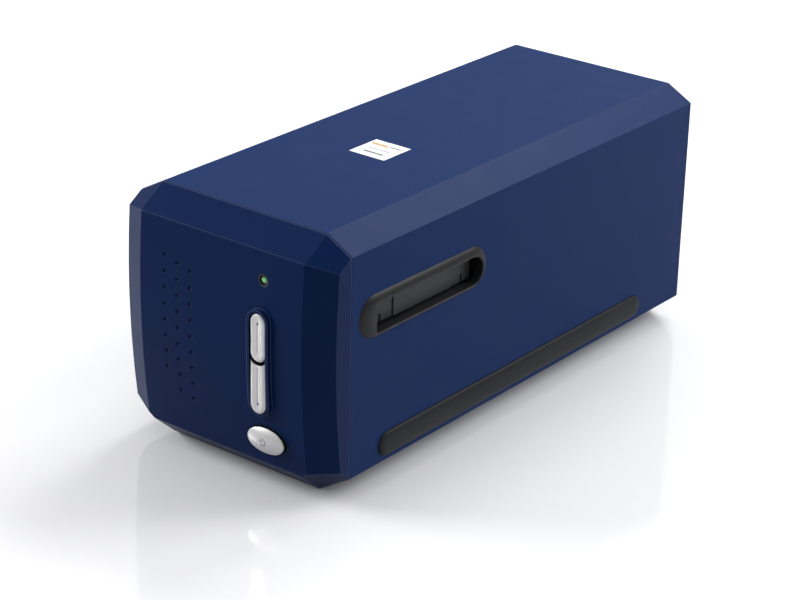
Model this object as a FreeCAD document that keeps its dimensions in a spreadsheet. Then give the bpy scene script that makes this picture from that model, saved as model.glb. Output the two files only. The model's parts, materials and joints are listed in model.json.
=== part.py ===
import FreeCAD, Part

import math
import os

import Sketcher
from FreeCAD import Placement, Rotation, Vector

# A film negative scanner: casing, slot doors, buttons, and the moving C-shaped scanning carriage inside.
# +Z is up, the front cover faces -Y, and the origin is under the middle of the casing, on the table.

# Every driving size, in millimetres, goes into the sheet under its own name.
SIZES = {
    # whole object
    "overall_width": 120.0,
    "overall_depth": 274.2,
    "overall_height": 119.0,
    "trim_proud": 1.5,
    "foot_height": 1.2,
    "overrun": 4.0,
    # casing section
    "wall": 2.5,
    "top_chamfer_width": 13.2,
    "top_chamfer_height": 7.2,
    "low_chamfer_width": 16.3,
    "low_chamfer_height": 10.0,
    "casing_slack": 0.15,
    "tongue_wall": 1.4,
    "tongue_rise": 3.0,
    "tongue_setback": 8.0,
    # front cover
    "front_depth": 16.0,
    "front_wall": 3.0,
    "front_crown_radius": 430.0,
    "front_crown_height": 70.8,
    "front_face_half": 45.1,
    "side_bevel_depth": 6.8,
    "top_bevel_run": 14.3,
    "top_bevel_drop": 9.4,
    "low_bevel_run": 12.0,
    "low_bevel_rise": 10.6,
    "seam_gap": 0.35,
    "tongue_root": 2.5,
    "tongue_reach": 4.0,
    # pits in the front cover
    "pit_radius": 1.15,
    "pit_depth": 0.9,
    "pit_pitch": 7.45,
    "pit_column_one": 30.7,
    "pit_column_two": 23.6,
    "pit_column_three": 16.3,
    "pit_top_one": 93.7,
    "pit_top_two": 91.6,
    "pit_top_three": 89.8,
    # scan buttons and their collar
    "button_middle": 23.0,
    "button_half_width": 4.05,
    "button_low_end": 37.0,
    "button_high_end": 82.6,
    "button_split": 60.7,
    "button_split_gap": 1.5,
    "button_gap": 0.45,
    "button_proud": 1.9,
    "button_edge_bevel": 0.6,
    "button_flange": 1.1,
    "button_flange_thickness": 1.2,
    "button_flange_setback": 4.7,
    "button_post_radius": 2.0,
    "button_travel": 0.8,
    "groove_width": 0.7,
    "groove_depth": 0.3,
    "collar_width": 1.75,
    "collar_height": 2.2,
    # power button
    "power_middle": 25.3,
    "power_height": 24.1,
    "power_half_width": 10.0,
    "power_half_height": 5.9,
    "power_proud": 1.2,
    "power_crown_depth": 1.85,
    "power_flange_thickness": 1.3,
    # status light
    "light_middle": 24.2,
    "light_height": 97.1,
    "light_lens_radius": 2.1,
    "light_ring_radius": 2.6,
    "light_ring_proud": 0.1,
    "light_ring_length": 3.6,
    "light_lens_setback": 0.3,
    "light_pipe_length": 6.3,
    "light_flange_radius": 3.3,
    "light_flange_thickness": 0.9,
    "led_radius": 1.5,
    "led_gap": 0.2,
    # button board and switches
    "board_thickness": 1.6,
    "button_board_setback": 1.5,
    "button_board_left": 7.0,
    "button_board_right": 40.0,
    "button_board_bottom": 15.0,
    "button_board_top": 104.0,
    "board_post_radius": 2.6,
    "board_post_low": 50.0,
    "board_post_high": 88.0,
    "board_post_margin": 4.5,
    "switch_half": 3.0,
    "switch_depth": 3.5,
    "switch_stem_half": 1.6,
    "switch_stem_proud": 1.5,
    "switch_stem_inside": 1.1,
    "switch_bore_depth": 2.4,
    # film slot, bezel and dust door
    "slot_setback": 15.4,
    "slot_length": 72.7,
    "slot_bottom": 73.6,
    "slot_height": 12.9,
    "bezel_setback": 4.7,
    "bezel_length": 86.8,
    "bezel_bottom": 71.7,
    "bezel_height": 19.4,
    "bezel_lip": 1.6,
    "bezel_bevel": 0.9,
    "door_thickness": 1.6,
    "door_rise": 0.6,
    "door_rise_margin": 17.0,
    "door_side_gap": 0.5,
    "door_floor_gap": 1.0,
    "door_rear_gap": 2.5,
    "door_pin_radius": 0.8,
    "door_pin_inset": 5.3,
    "door_pin_above_slot": 1.9,
    "door_knuckle_wall": 0.75,
    "door_slit_width": 1.1,
    "door_slit_height": 3.6,
    "door_slit_margin": 8.5,
    "spring_wire": 0.5,
    "spring_coil_length": 5.0,
    "spring_leg": 7.0,
    # rubber strips, feet and label
    "strip_setback": 19.0,
    "strip_length": 201.0,
    "strip_bottom": 13.4,
    "strip_height": 11.1,
    "strip_recess": 0.6,
    "strip_bevel": 0.9,
    "foot_radius": 5.0,
    "foot_inset": 33.0,
    "foot_margin": 14.0,
    "label_width": 19.6,
    "label_length": 19.3,
    "label_thickness": 0.1,
    "label_setback": 80.7,
    # film guide
    "guide_wall": 1.8,
    "guide_slack": 0.5,
    "guide_end_gap": 0.6,
    "guide_roof_half": 37.0,
    "guide_ear_width": 4.9,
    "guide_ear_rise": 2.8,
    "window_half_width": 20.0,
    "window_margin": 5.0,
    "leg_inset": 42.5,
    "leg_thickness": 2.5,
    "leg_setback": 3.0,
    "leg_post": 12.0,
    "leg_beam": 10.0,
    # chassis
    "chassis_half_width": 47.4,
    "chassis_setback": 6.5,
    "chassis_thickness": 2.5,
    "chassis_lift": 4.3,
    "chassis_rear_margin": 12.0,
    "base_boss_radius": 4.0,
    "base_boss_inset": 33.0,
    "base_boss_margin": 32.0,
    "rod_post_thickness": 5.5,
    "rod_post_half_width": 6.0,
    "rod_post_cap": 7.0,
    "stand_height": 4.5,
    "stand_half": 3.0,
    # guide rods
    "main_rod_radius": 3.0,
    "main_rod_side": 36.0,
    "main_rod_height": 33.0,
    "second_rod_radius": 2.5,
    "second_rod_side": 24.0,
    "second_rod_height": 30.0,
    "rod_end_inset": 0.5,
    "rod_fit": 0.02,
    "running_fit": 0.05,
    # carriage
    "carriage_travel": 30.0,
    "carriage_half_width": 26.0,
    "carriage_wall": 2.0,
    "carriage_length": 178.0,
    "tray_bottom": 38.0,
    "tray_height": 22.0,
    "mirror_room": 7.5,
    "spine_gap": 1.6,
    "spine_depth": 13.0,
    "arm_bottom": 92.5,
    "arm_height": 12.0,
    "light_entry": 17.0,
    "tray_open_front": 8.5,
    "lug_length": 12.0,
    "lug_outer": 41.5,
    "lug_bottom": 27.5,
    "front_lug_setback": 12.0,
    "rear_lug_margin": 14.5,
    "bushing_radius": 4.5,
    "shoe_half_width": 4.0,
    "shoe_length": 14.0,
    "shoe_drop": 12.5,
    "flag_thickness": 1.0,
    "flag_length": 4.0,
    "flag_side": 14.5,
    "flag_drop": 11.0,
    # optics
    "optic_height": 49.0,
    "mirror_width": 44.0,
    "mirror_length": 14.0,
    "mirror_thickness": 2.0,
    "lens_setback": 95.0,
    "lens_radius": 7.5,
    "lens_bore": 6.0,
    "lens_length": 22.0,
    "lens_glass_thickness": 3.0,
    "lens_glass_inset": 1.5,
    "lens_block_half_width": 14.0,
    "lens_block_length": 16.0,
    "lens_block_height": 17.8,
    "sensor_board_margin": 8.4,
    "sensor_board_half_width": 23.5,
    "sensor_tab_half_width": 11.0,
    "sensor_tab_drop": 7.5,
    "sensor_half_width": 20.0,
    "sensor_depth": 4.0,
    "sensor_height": 10.0,
    "sensor_window_height": 2.4,
    "sensor_window_depth": 0.6,
    # lamp
    "lamp_half_width": 21.7,
    "lamp_half_depth": 6.8,
    "lamp_mouth_half": 5.5,
    "lamp_throat_half": 3.3,
    "lamp_throat_rise": 7.0,
    "lamp_end_wall": 1.7,
    "lamp_board_thickness": 1.2,
    "lamp_led_size": 2.0,
    "lamp_led_height": 1.0,
    "lamp_led_pitch": 6.0,
    "diffuser_thickness": 1.4,
    # drive
    "gear_module": 0.8,
    "gear_width": 3.5,
    "pulley_radius": 5.8,
    "pulley_width": 5.0,
    "pulley_flange": 2.0,
    "pulley_flange_thickness": 0.8,
    "belt_gap": 0.2,
    "belt_thickness": 1.2,
    "belt_width": 4.0,
    "drive_height": 46.0,
    "drive_axle_y": 100.0,
    "idler_axle_y": 12.0,
    "axle_radius": 2.0,
    "axle_end_gap": 1.4,
    "axle_clip_radius": 3.2,
    "axle_clip_thickness": 0.6,
    "bracket_side": 38.8,
    "bracket_thickness": 1.2,
    "bracket_half_width": 21.0,
    "bracket_gap": 0.5,
    "bracket_foot": 7.0,
    "bracket_top_margin": 12.0,
    "idler_bracket_half_width": 8.0,
    "motor_radius": 17.5,
    "motor_length": 15.5,
    "motor_shaft_radius": 1.5,
    "motor_shaft_inside": 12.0,
    "motor_ear": 4.5,
    "motor_plate": 1.5,
    "clamp_setback": 114.5,
    "clamp_length": 10.0,
    "clamp_plate": 2.2,
    "clamp_jaw": 2.2,
    "clamp_gap": 0.3,
    # main board and what stands on it
    "main_board_left": 36.0,
    "main_board_right": 40.0,
    "main_board_front": 14.0,
    "main_board_rear": 116.0,
    "main_board_tail_left": 16.0,
    "main_board_tail_right": 26.0,
    "main_board_tail": 14.0,
    "main_board_margin": 5.0,
    "chip_height": 2.2,
    "capacitor_radius": 4.0,
    "capacitor_height": 10.0,
    "usb_width": 12.0,
    "usb_height": 11.0,
    "usb_length": 17.0,
    "usb_shell": 1.2,
    "usb_cavity_depth": 10.0,
    "usb_tongue_width": 5.6,
    "usb_tongue_height": 3.2,
    "usb_middle": 6.0,
    "usb_proud": 1.6,
    "jack_width": 9.0,
    "jack_height": 11.0,
    "jack_length": 14.0,
    "jack_middle": 13.0,
    "jack_bore_radius": 3.1,
    "jack_bore_depth": 9.0,
    "jack_pin_radius": 1.0,
    "jack_axis_height": 6.5,
    "home_sensor_width": 8.0,
    "home_sensor_length": 12.0,
    "home_sensor_height": 15.4,
    "home_sensor_slot": 3.0,
    "home_sensor_floor": 5.0,
    "home_sensor_front": 16.0,
    # flat ribbon between the boards
    "ribbon_width": 14.0,
    "ribbon_thickness": 0.3,
    "ribbon_lift": 1.7,
    "ribbon_bend_radius": 8.0,
    "ribbon_bend_y": 4.0,
    "connector_half_width": 9.0,
    "connector_depth": 4.0,
    "connector_height": 3.0,
    "connector_rear": 50.0,
    # rear panel
    "rear_panel_thickness": 2.5,
    "rear_panel_recess": 2.0,
    "port_gap": 0.3,
    "rear_boss_side": 30.0,
    "rear_boss_radius": 3.5,
    "rear_boss_length": 10.0,
    # screws
    "screw_radius": 1.25,
    "screw_head_radius": 2.4,
    "screw_head_height": 1.5,
    "screw_length": 7.0,
    "screw_slack": 0.05,
}

# Tooth numbers of the drive
PINION_TEETH = 16
GEAR_TEETH = 40
# Pressure angle of the teeth, in degrees
PRESSURE_ANGLE = 20.0
# Addendum, dedendum and tooth thinning as shares of the module
TOOTH_SHARES = {"addendum": 1.0, "dedendum": 1.25, "thinning": 0.06}
# Pits in each column of the front cover
PIT_COUNTS = (8, 9, 9)
# Sides of each pit
PIT_SIDES = 6
# Sides of the status light's ring and lens
LIGHT_SIDES = 16
# LEDs of the lamp
LAMP_LEDS = 6

doc = FreeCAD.newDocument("film_negative_scanner")
sheet = doc.addObject("Spreadsheet::Sheet", "Sizes")


class Size:
    """A size: its number now, and the sheet expression that gives it."""

    def __init__(self, number, text):
        self.number = number
        self.text = text

    def __add__(self, other):
        return joined(self, "+", other)

    def __radd__(self, other):
        return joined(other, "+", self)

    def __sub__(self, other):
        return joined(self, "-", other)

    def __rsub__(self, other):
        return joined(other, "-", self)

    def __mul__(self, other):
        return joined(self, "*", other)

    def __rmul__(self, other):
        return joined(other, "*", self)

    def __truediv__(self, other):
        return joined(self, "/", other)

    def __neg__(self):
        return Size(-self.number, "(-%s)" % self.text)


def as_size(value):
    """A size as it is, or a plain number as one."""
    if isinstance(value, Size):
        return value
    return Size(float(value), "(%s)" % float(value))


def joined(first, sign, second):
    """The sum, difference, product or quotient of two sizes, as a size."""
    first = as_size(first)
    second = as_size(second)
    numbers = {
        "+": first.number + second.number,
        "-": first.number - second.number,
        "*": first.number * second.number,
    }
    number = numbers[sign] if sign in numbers else first.number / second.number
    return Size(number, "(%s %s %s)" % (first.text, sign, second.text))


def hypotenuse(first, second):
    """The long side of a right triangle, as a size."""
    number = math.hypot(first.number, second.number)
    return Size(number, "sqrt(%s ^ 2 + %s ^ 2)" % (first.text, second.text))


class SizeTable:
    """Writes the sizes into the sheet and hands them out by name."""

    def __init__(self, values):
        for row, (name, value) in enumerate(values.items(), 1):
            sheet.set("A%d" % row, name)
            sheet.set("B%d" % row, str(value))
            sheet.setAlias("B%d" % row, name)
            setattr(self, name, Size(value, "Sizes." + name))


s = SizeTable(SIZES)
doc.recompute()

# Object of each finished sub-part, by node name
nodes = {}


def finish(name, thing):
    """Labels an object as a finished sub-part."""
    thing.Label = name
    nodes[name] = thing
    return thing


def bind(thing, prop, size):
    """Ties a property to the sheet."""
    thing.setExpression(prop, as_size(size).text)


def place(thing, point, rotation=None):
    """Puts an object at a point that follows the sheet."""
    if rotation is not None:
        thing.Placement = Placement(Vector(), rotation)
    for axis, size in zip("xyz", point):
        bind(thing, "Placement.Base." + axis, size)


# Turns that lay an upright solid along another axis
ALONG = {
    "x": Rotation(Vector(0, 1, 0), 90),
    "y": Rotation(Vector(1, 0, 0), -90),
    "z": Rotation(),
}


def block(name, low, high):
    """A box between two corners."""
    box = doc.addObject("Part::Box", name)
    for prop, start, end in zip(("Length", "Width", "Height"), low, high):
        bind(box, prop, as_size(end) - start)
    place(box, low)
    return box


def rod(name, axis, start, length, radius):
    """A round bar that runs from a point along an axis."""
    bar = doc.addObject("Part::Cylinder", name)
    bind(bar, "Radius", radius)
    bind(bar, "Height", length)
    place(bar, start, ALONG[axis])
    return bar


def bar(name, axis, start, length, radius, sides=8):
    """A many-sided bar that runs from a point along an axis; the radius reaches its corners."""
    solid = doc.addObject("Part::Prism", name)
    solid.Polygon = sides
    bind(solid, "Circumradius", radius)
    bind(solid, "Height", length)
    place(solid, start, ALONG[axis])
    return solid


def around(radius, sides=8):
    """The corner radius of a many-sided hole that clears a round bar."""
    return as_size(radius) / Size(math.cos(math.pi / sides), "(%.12f)" % math.cos(math.pi / sides))


def fuse(name, *parts):
    """One solid from several."""
    whole = doc.addObject("Part::MultiFuse", name)
    whole.Shapes = list(parts)
    whole.Refine = True
    return whole


def cut(name, base, *tools):
    """A solid less its tools."""
    result = doc.addObject("Part::Cut", name)
    result.Base = base
    result.Tool = tools[0] if len(tools) == 1 else fuse(name + "_tools", *tools)
    result.Refine = True
    return result


def common(name, first, second):
    """What two solids share."""
    shared = doc.addObject("Part::Common", name)
    shared.Base = first
    shared.Tool = second
    return shared


def group(name, *parts):
    """Separate solids kept together."""
    compound = doc.addObject("Part::Compound", name)
    compound.Links = list(parts)
    return compound


def mirrored(name, source):
    """The left-hand twin of a right-hand piece."""
    twin = doc.addObject("Part::Mirroring", name)
    twin.Source = source
    twin.Normal = Vector(1, 0, 0)
    return twin


def hold(sketch, geometry, vertex, point):
    """Ties one sketch point to the sheet."""
    for word, axis, size in zip(("DistanceX", "DistanceY"), (-2, -1), point):
        size = as_size(size)
        if size.number == 0:
            sketch.addConstraint(Sketcher.Constraint("PointOnObject", geometry, vertex, axis))
            continue
        index = sketch.addConstraint(Sketcher.Constraint(word, -1, 1, geometry, vertex, size.number))
        sketch.setExpression("Constraints[%d]" % index, size.text)


def at(point):
    """A sketch point as a vector."""
    return Vector(as_size(point[0]).number, as_size(point[1]).number, 0)


def polygon(points):
    """Draws a closed outline through points."""

    def draw(sketch):
        first = sketch.GeometryCount
        for start, end in zip(points, points[1:] + points[:1]):
            sketch.addGeometry(Part.LineSegment(at(start), at(end)))
        count = len(points)
        for step, point in enumerate(points):
            here = first + step
            after = first + (step + 1) % count
            sketch.addConstraint(Sketcher.Constraint("Coincident", here, 2, after, 1))
            hold(sketch, here, 1, point)

    return draw


def rectangle(left, right, low, high):
    """Draws a rectangle."""
    return polygon([(left, low), (right, low), (right, high), (left, high)])


def oval(centre, half_width, half_height, sides):
    """Draws a many-sided oval about a centre."""
    points = []
    for corner in range(sides):
        angle = 2 * math.pi * corner / sides
        across = Size(math.cos(angle), "(%.12f)" % math.cos(angle))
        up = Size(math.sin(angle), "(%.12f)" % math.sin(angle))
        points.append((centre[0] + half_width * across, centre[1] + half_height * up))
    return polygon(points)


def regular(centre, radius, sides):
    """Draws an outline of equal sides about a centre."""
    return oval(centre, radius, radius, sides)


def round_ended(start, end, radius):
    """Draws a slot outline about two centres that lie along one of the sketch's axes."""
    upright = as_size(start[0]).text == as_size(end[0]).text
    points = []
    for centre, first in ((end, 0), (start, HALF_ROUND)):
        for corner in range(HALF_ROUND + 1):
            angle = math.pi * ((first + corner) / HALF_ROUND - (0 if upright else 1 / 2))
            across = Size(math.cos(angle), "(%.12f)" % math.cos(angle))
            up = Size(math.sin(angle), "(%.12f)" % math.sin(angle))
            points.append((centre[0] + radius * across, centre[1] + radius * up))
    return polygon(points)


# Sides of each round end of a slot outline
HALF_ROUND = 12


# Direction of each origin plane's normal along its axis
FACING = {"XY": 1, "XZ": -1, "YZ": 1}


def sketch_at(body, plane, level):
    """An empty sketch on one of a body's origin planes, moved to a level."""
    planes = {feature.Role: feature for feature in body.Origin.OriginFeatures}
    sketch = body.newObject("Sketcher::SketchObject", body.Name + "_sketch")
    sketch.AttachmentSupport = [(planes[plane + "_Plane"], "")]
    sketch.MapMode = "FlatFace"
    bind(sketch, "AttachmentOffset.Base.z", as_size(level) * FACING[plane])
    return sketch


def prism(name, plane, low, high, *outlines):
    """A body padded from one level to another; inner outlines are holes."""
    body = doc.addObject("PartDesign::Body", name)
    sketch = sketch_at(body, plane, low)
    for outline in outlines:
        outline(sketch)
    pad = body.newObject("PartDesign::Pad", name + "_pad")
    pad.Profile = sketch
    pad.Reversed = FACING[plane] < 0
    bind(pad, "Length", as_size(high) - low)
    return body


def pyramid(name, plane, base, tip, centre, radius, sides):
    """A body that narrows from an outline of equal sides to a point."""
    body = doc.addObject("PartDesign::Body", name)
    foot = sketch_at(body, plane, base)
    regular(centre, radius, sides)(foot)
    peak = sketch_at(body, plane, tip)
    peak.addGeometry(Part.Point(at(centre)))
    hold(peak, 0, 1, centre)
    loft = body.newObject("PartDesign::AdditiveLoft", name + "_loft")
    loft.Profile = foot
    loft.Sections = [peak]
    loft.Ruled = True
    return body


def pocket(body, plane, low, high, *outlines):
    """Cuts outlines out of a body from one level to another."""
    doc.recompute()
    before = body.Shape.Volume
    sketch = sketch_at(body, plane, high if FACING[plane] > 0 else low)
    for outline in outlines:
        outline(sketch)
    hollow = body.newObject("PartDesign::Pocket", body.Name + "_pocket")
    hollow.Profile = sketch
    bind(hollow, "Length", as_size(high) - low)
    doc.recompute()
    if body.Shape.Volume >= before:
        raise RuntimeError("a pocket of %s cuts nothing" % body.Name)
    return body


def soften(body, width, wanted):
    """Bevels the edges of a body that answer to a test."""
    doc.recompute()
    names = ["Edge%d" % number for number, edge in enumerate(body.Shape.Edges, 1) if wanted(edge)]
    if not names:
        raise RuntimeError("no edge of %s to bevel" % body.Name)
    tip = body.Tip
    bevel = body.newObject("PartDesign::Chamfer", body.Name + "_bevel")
    bevel.Base = (tip, names)
    bind(bevel, "Size", width)
    return body


def lathe(name, axis, start, profile):
    """A body turned about an axis through a point; the profile gives radius and place along it."""
    body = doc.addObject("PartDesign::Body", name)
    sketch = sketch_at(body, "XZ", 0)
    polygon(profile)(sketch)
    turn = body.newObject("PartDesign::Revolution", name + "_turn")
    turn.Profile = sketch
    turn.ReferenceAxis = (sketch, ["V_Axis"])
    turn.Angle = 360
    place(body, start, ALONG[axis])
    return body


def tube(name, axis, start, length, outer, inner):
    """A round tube."""
    return lathe(name, axis, start, [(inner, 0), (outer, 0), (outer, length), (inner, length)])


# Main places, worked out from the overall sizes
casing_half = s.overall_width / 2 - s.trim_proud
crest = -s.overall_depth / 2 + s.collar_height
button_face = crest - s.button_proud
seam = crest + s.front_depth
rear = s.overall_depth / 2
casing_bottom = s.foot_height
casing_top = s.overall_height
joint_height = casing_bottom + s.low_chamfer_height
inner_floor = casing_bottom + s.wall
front_inside = crest + s.front_wall
slot_front = seam + s.slot_setback
slot_rear = slot_front + s.slot_length
slot_top = s.slot_bottom + s.slot_height
slot_middle = slot_front + s.slot_length / 2
chassis_bottom = inner_floor + s.chassis_lift
chassis_top = chassis_bottom + s.chassis_thickness
chassis_front = seam + s.chassis_setback
chassis_rear = rear - s.chassis_rear_margin
scan_line = slot_middle - s.carriage_travel / 2
tray_inside_front = scan_line - s.mirror_room
tray_front = tray_inside_front - s.carriage_wall
tray_rear = tray_front + s.carriage_length
tray_floor = s.tray_bottom + s.carriage_wall
tray_top = s.tray_bottom + s.tray_height
guide_front = slot_front - s.guide_slack
guide_rear = slot_rear + s.guide_slack
guide_floor = s.slot_bottom - s.seam_gap
guide_roof = slot_top + s.seam_gap
spine_front = guide_rear + s.guide_wall + s.spine_gap
spine_rear = spine_front + s.spine_depth
arm_top = s.arm_bottom + s.arm_height
button_board_rear = seam - s.button_board_setback
button_board_front = button_board_rear - s.board_thickness
switch_front = button_board_front - s.switch_depth
stem_front = switch_front - s.switch_stem_proud
pin_side = casing_half - s.door_pin_inset
pin_height = slot_top + s.door_pin_above_slot
main_board_bottom = chassis_top + s.stand_height
main_board_top = main_board_bottom + s.board_thickness
rear_panel_front = rear - s.rear_panel_recess - s.rear_panel_thickness
rear_panel_back = rear - s.rear_panel_recess
gear_outer_side = s.bracket_side - s.bracket_gap
pulley_outer_side = gear_outer_side - s.gear_width
pulley_inner_side = pulley_outer_side - 2 * s.pulley_flange_thickness - s.pulley_width
gear_distance = s.gear_module * (PINION_TEETH + GEAR_TEETH) / 2
motor_height = s.drive_height + gear_distance
screw_hole = s.screw_radius + s.screw_slack


def crown_depth(height):
    """How far the crowned front face lies behind its crest at a height."""
    off = height - s.front_crown_height
    number = off.number ** 2 / (2 * s.front_crown_radius.number)
    return Size(number, "(%s ^ 2 / (2 * %s))" % (off.text, s.front_crown_radius.text))


def casing_corners(inset):
    """Half the casing's section as its corners, from the middle of the top to the middle of the base."""
    inset = as_size(inset)
    top_slope = hypotenuse(s.top_chamfer_width, s.top_chamfer_height)
    low_slope = hypotenuse(s.low_chamfer_width, s.low_chamfer_height)
    top_shift = inset * (top_slope - s.top_chamfer_width) / s.top_chamfer_height
    side_shift = inset * (top_slope - s.top_chamfer_height) / s.top_chamfer_width
    base_shift = inset * (low_slope - s.low_chamfer_width) / s.low_chamfer_height
    skirt_shift = inset * (low_slope - s.low_chamfer_height) / s.low_chamfer_width
    return {
        "side": casing_half - inset,
        "top": casing_top - inset,
        "top_half": casing_half - s.top_chamfer_width - top_shift,
        "shoulder": casing_top - s.top_chamfer_height - side_shift,
        "hip": joint_height + skirt_shift,
        "base_half": casing_half - s.low_chamfer_width - base_shift,
        "base": casing_bottom + inset,
    }


def casing_outline(inset, drop=0, rise=0):
    """The casing's eight-sided section, set in, with its top lowered and its base raised."""
    c = casing_corners(inset)
    right = [
        (c["base_half"], c["base"] + rise),
        (c["side"], c["hip"] + rise),
        (c["side"], c["shoulder"] - drop),
        (c["top_half"], c["top"] - drop),
    ]
    left = [(-across, height) for across, height in reversed(right)]
    return polygon(right + left)


# Screws

def screw(name, axis, head_end, inward):
    """A screw whose head starts at a point; inward is 1 or -1 along its axis."""
    tall, long = s.screw_head_height, s.screw_length
    parts = []
    for start, end, radius in ((as_size(0), tall, s.screw_head_radius), (tall, long, s.screw_radius)):
        low = list(head_end)
        index = "xyz".index(axis)
        low[index] = low[index] + (start if inward > 0 else -end)
        parts.append(bar(name, axis, tuple(low), end - start, radius))
    return fuse(name + "_solid", *parts)


# Casing

def make_main_housing():
    outer = casing_corners(0)
    inner = casing_corners(s.wall)
    right = [(outer["side"], joint_height), (outer["side"], outer["shoulder"]), (outer["top_half"], outer["top"])]
    left = [(-across, height) for across, height in reversed(right)]
    inside_left = [(-inner["side"], joint_height), (-inner["side"], inner["shoulder"]),
                   (-inner["top_half"], inner["top"])]
    inside_right = [(-across, height) for across, height in reversed(inside_left)]
    sleeve = prism("sleeve", "XZ", seam, rear, polygon(right + left + inside_left + inside_right))
    tools = [bezel_plug("bezel_holes", s.bezel_lip - s.casing_slack, -casing_half - s.overrun,
                        casing_half + s.overrun)]
    for side in (1, -1):
        deep = side * (casing_half - s.strip_recess)
        out = side * (casing_half + s.overrun)
        low, high = (deep, out) if side > 0 else (out, deep)
        tools.append(strip_prism("strip_recess", low, high, -s.casing_slack))
    front = seam + s.label_setback
    tools.append(block("label_recess",
                       (-s.label_width / 2 - s.casing_slack, front - s.casing_slack, casing_top - s.label_thickness),
                       (s.label_width / 2 + s.casing_slack, front + s.label_length + s.casing_slack,
                        casing_top + s.overrun)))
    bosses = []
    for side in (1, -1):
        centre = (side * s.rear_boss_side, rear_panel_front - s.rear_boss_length, rear_boss_height)
        bosses.append(bar("rear_boss", "y", centre, s.rear_boss_length, s.rear_boss_radius))
        tools.append(bar("rear_boss_hole", "y", centre, s.rear_boss_length + s.overrun, screw_hole))
    shell = fuse("sleeve_and_bosses", sleeve, *bosses)
    finish("main_housing", cut("housing", shell, *tools))


rear_boss_height = casing_top - s.wall - s.rear_boss_radius * 3 / 4


def bezel_plug(name, inset, low, high):
    """The bezel's round-ended outline, set in, as a solid across the casing."""
    radius = s.bezel_height / 2
    middle = s.bezel_bottom + radius
    front = seam + s.bezel_setback + radius
    back = seam + s.bezel_setback + s.bezel_length - radius
    return prism(name, "YZ", low, high, round_ended((front, middle), (back, middle), radius - inset))


def strip_prism(name, low, high, inset):
    """The side strip's outline, set in, as a solid between two places across the casing."""
    radius = s.strip_height / 2
    middle = s.strip_bottom + radius
    front = seam + s.strip_setback + radius
    back = seam + s.strip_setback + s.strip_length - radius
    return prism(name, "YZ", low, high, round_ended((front, middle), (back, middle), radius - inset))


def make_bottom_cover():
    outer = casing_corners(0)
    inner = casing_corners(s.wall)
    slope = s.low_chamfer_width / s.low_chamfer_height
    inner_half = inner["base_half"] + (joint_height - inner["base"]) * slope
    right = [(outer["base_half"], outer["base"]), (outer["side"], joint_height), (inner_half, joint_height),
             (inner["base_half"], inner["base"])]
    left = [(-across, height) for across, height in reversed(right)]
    parts = [prism("base_shell", "XZ", seam, rear, polygon(right + left))]
    tools = []
    for side in (1, -1):
        near = casing_half - s.wall - s.casing_slack - s.tongue_wall
        far = casing_half - s.wall - s.casing_slack
        low, high = (near, far) if side > 0 else (-far, -near)
        parts.append(block("base_tongue", (low, seam + s.tongue_setback, joint_height - s.tongue_wall),
                           (high, rear - s.tongue_setback, joint_height + s.tongue_rise)))
    for across, along in base_boss_places():
        parts.append(bar("base_boss", "z", (across, along, inner_floor - s.seam_gap), s.chassis_lift + s.seam_gap,
                         s.base_boss_radius))
        tools.append(bar("base_boss_hole", "z", (across, along, casing_bottom - s.overrun),
                         chassis_bottom + s.overrun, screw_hole))
        tools.append(bar("base_screw_seat", "z", (across, along, casing_bottom - s.overrun),
                         base_screw_seat - casing_bottom + s.overrun, s.screw_head_radius + s.casing_slack))
    finish("bottom_cover", cut("base", fuse("base_solid", *parts), *tools))


base_screw_seat = casing_bottom + s.wall


def corner_places(inset, margin):
    """Four places near the corners of the base."""
    return [(side * inset, along) for side in (1, -1) for along in (seam + margin, rear - margin)]


def base_boss_places():
    return corner_places(s.base_boss_inset, s.base_boss_margin)


def foot_places():
    return corner_places(s.foot_inset, s.foot_margin)


def make_feet():
    feet = [bar("foot", "z", (across, along, 0), casing_bottom, s.foot_radius, 12)
            for across, along in foot_places()]
    finish("rubber_feet", group("feet", *feet))


def crowned_bulk(name, inset):
    """The front cover's crowned face and side bevels, turned about an axis far behind it."""
    slope = hypotenuse(s.side_bevel_depth, casing_half - s.front_face_half)
    run = casing_half - s.front_face_half
    inset = as_size(inset)
    face = s.front_face_half - inset * (slope - run) / s.side_bevel_depth
    flank = casing_half - inset
    front = -s.front_crown_radius + inset
    bevel = -s.front_crown_radius + s.side_bevel_depth + inset * (slope - s.side_bevel_depth) / run
    back = -s.front_crown_radius + 2 * s.front_depth
    body = doc.addObject("PartDesign::Body", name)
    sketch = sketch_at(body, "XY", s.front_crown_height)
    bind(sketch, "AttachmentOffset.Base.y", crest + s.front_crown_radius)
    polygon([(-flank, back), (-flank, bevel), (-face, front), (face, front), (flank, bevel),
             (flank, back)])(sketch)
    turn = body.newObject("PartDesign::Revolution", name + "_turn")
    turn.Profile = sketch
    turn.ReferenceAxis = (sketch, ["H_Axis"])
    turn.Angle = CROWN_SWEEP
    turn.Midplane = True
    return body


# Angle that the crowned face is turned through, in degrees
CROWN_SWEEP = 24.0


def bevelled_bulk(name, inset, start):
    """The casing's section drawn forward with its top lowered and its base raised."""
    body = doc.addObject("PartDesign::Body", name)
    run = 2 * s.front_depth
    first = sketch_at(body, "XZ", start)
    lead = start - seam
    casing_outline(inset, -lead * s.top_bevel_drop / s.top_bevel_run,
                   -lead * s.low_bevel_rise / s.low_bevel_run)(first)
    second = sketch_at(body, "XZ", seam - run)
    casing_outline(inset, run * s.top_bevel_drop / s.top_bevel_run, run * s.low_bevel_rise / s.low_bevel_run)(second)
    loft = body.newObject("PartDesign::AdditiveLoft", name + "_loft")
    loft.Profile = first
    loft.Sections = [second]
    loft.Ruled = True
    return body


def button_slot_outline(inset):
    """The long opening that the two scan buttons share, set in."""
    radius = s.button_half_width
    low = (s.button_middle, s.button_low_end + radius)
    high = (s.button_middle, s.button_high_end - radius)
    return round_ended(low, high, radius - inset)


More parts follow.
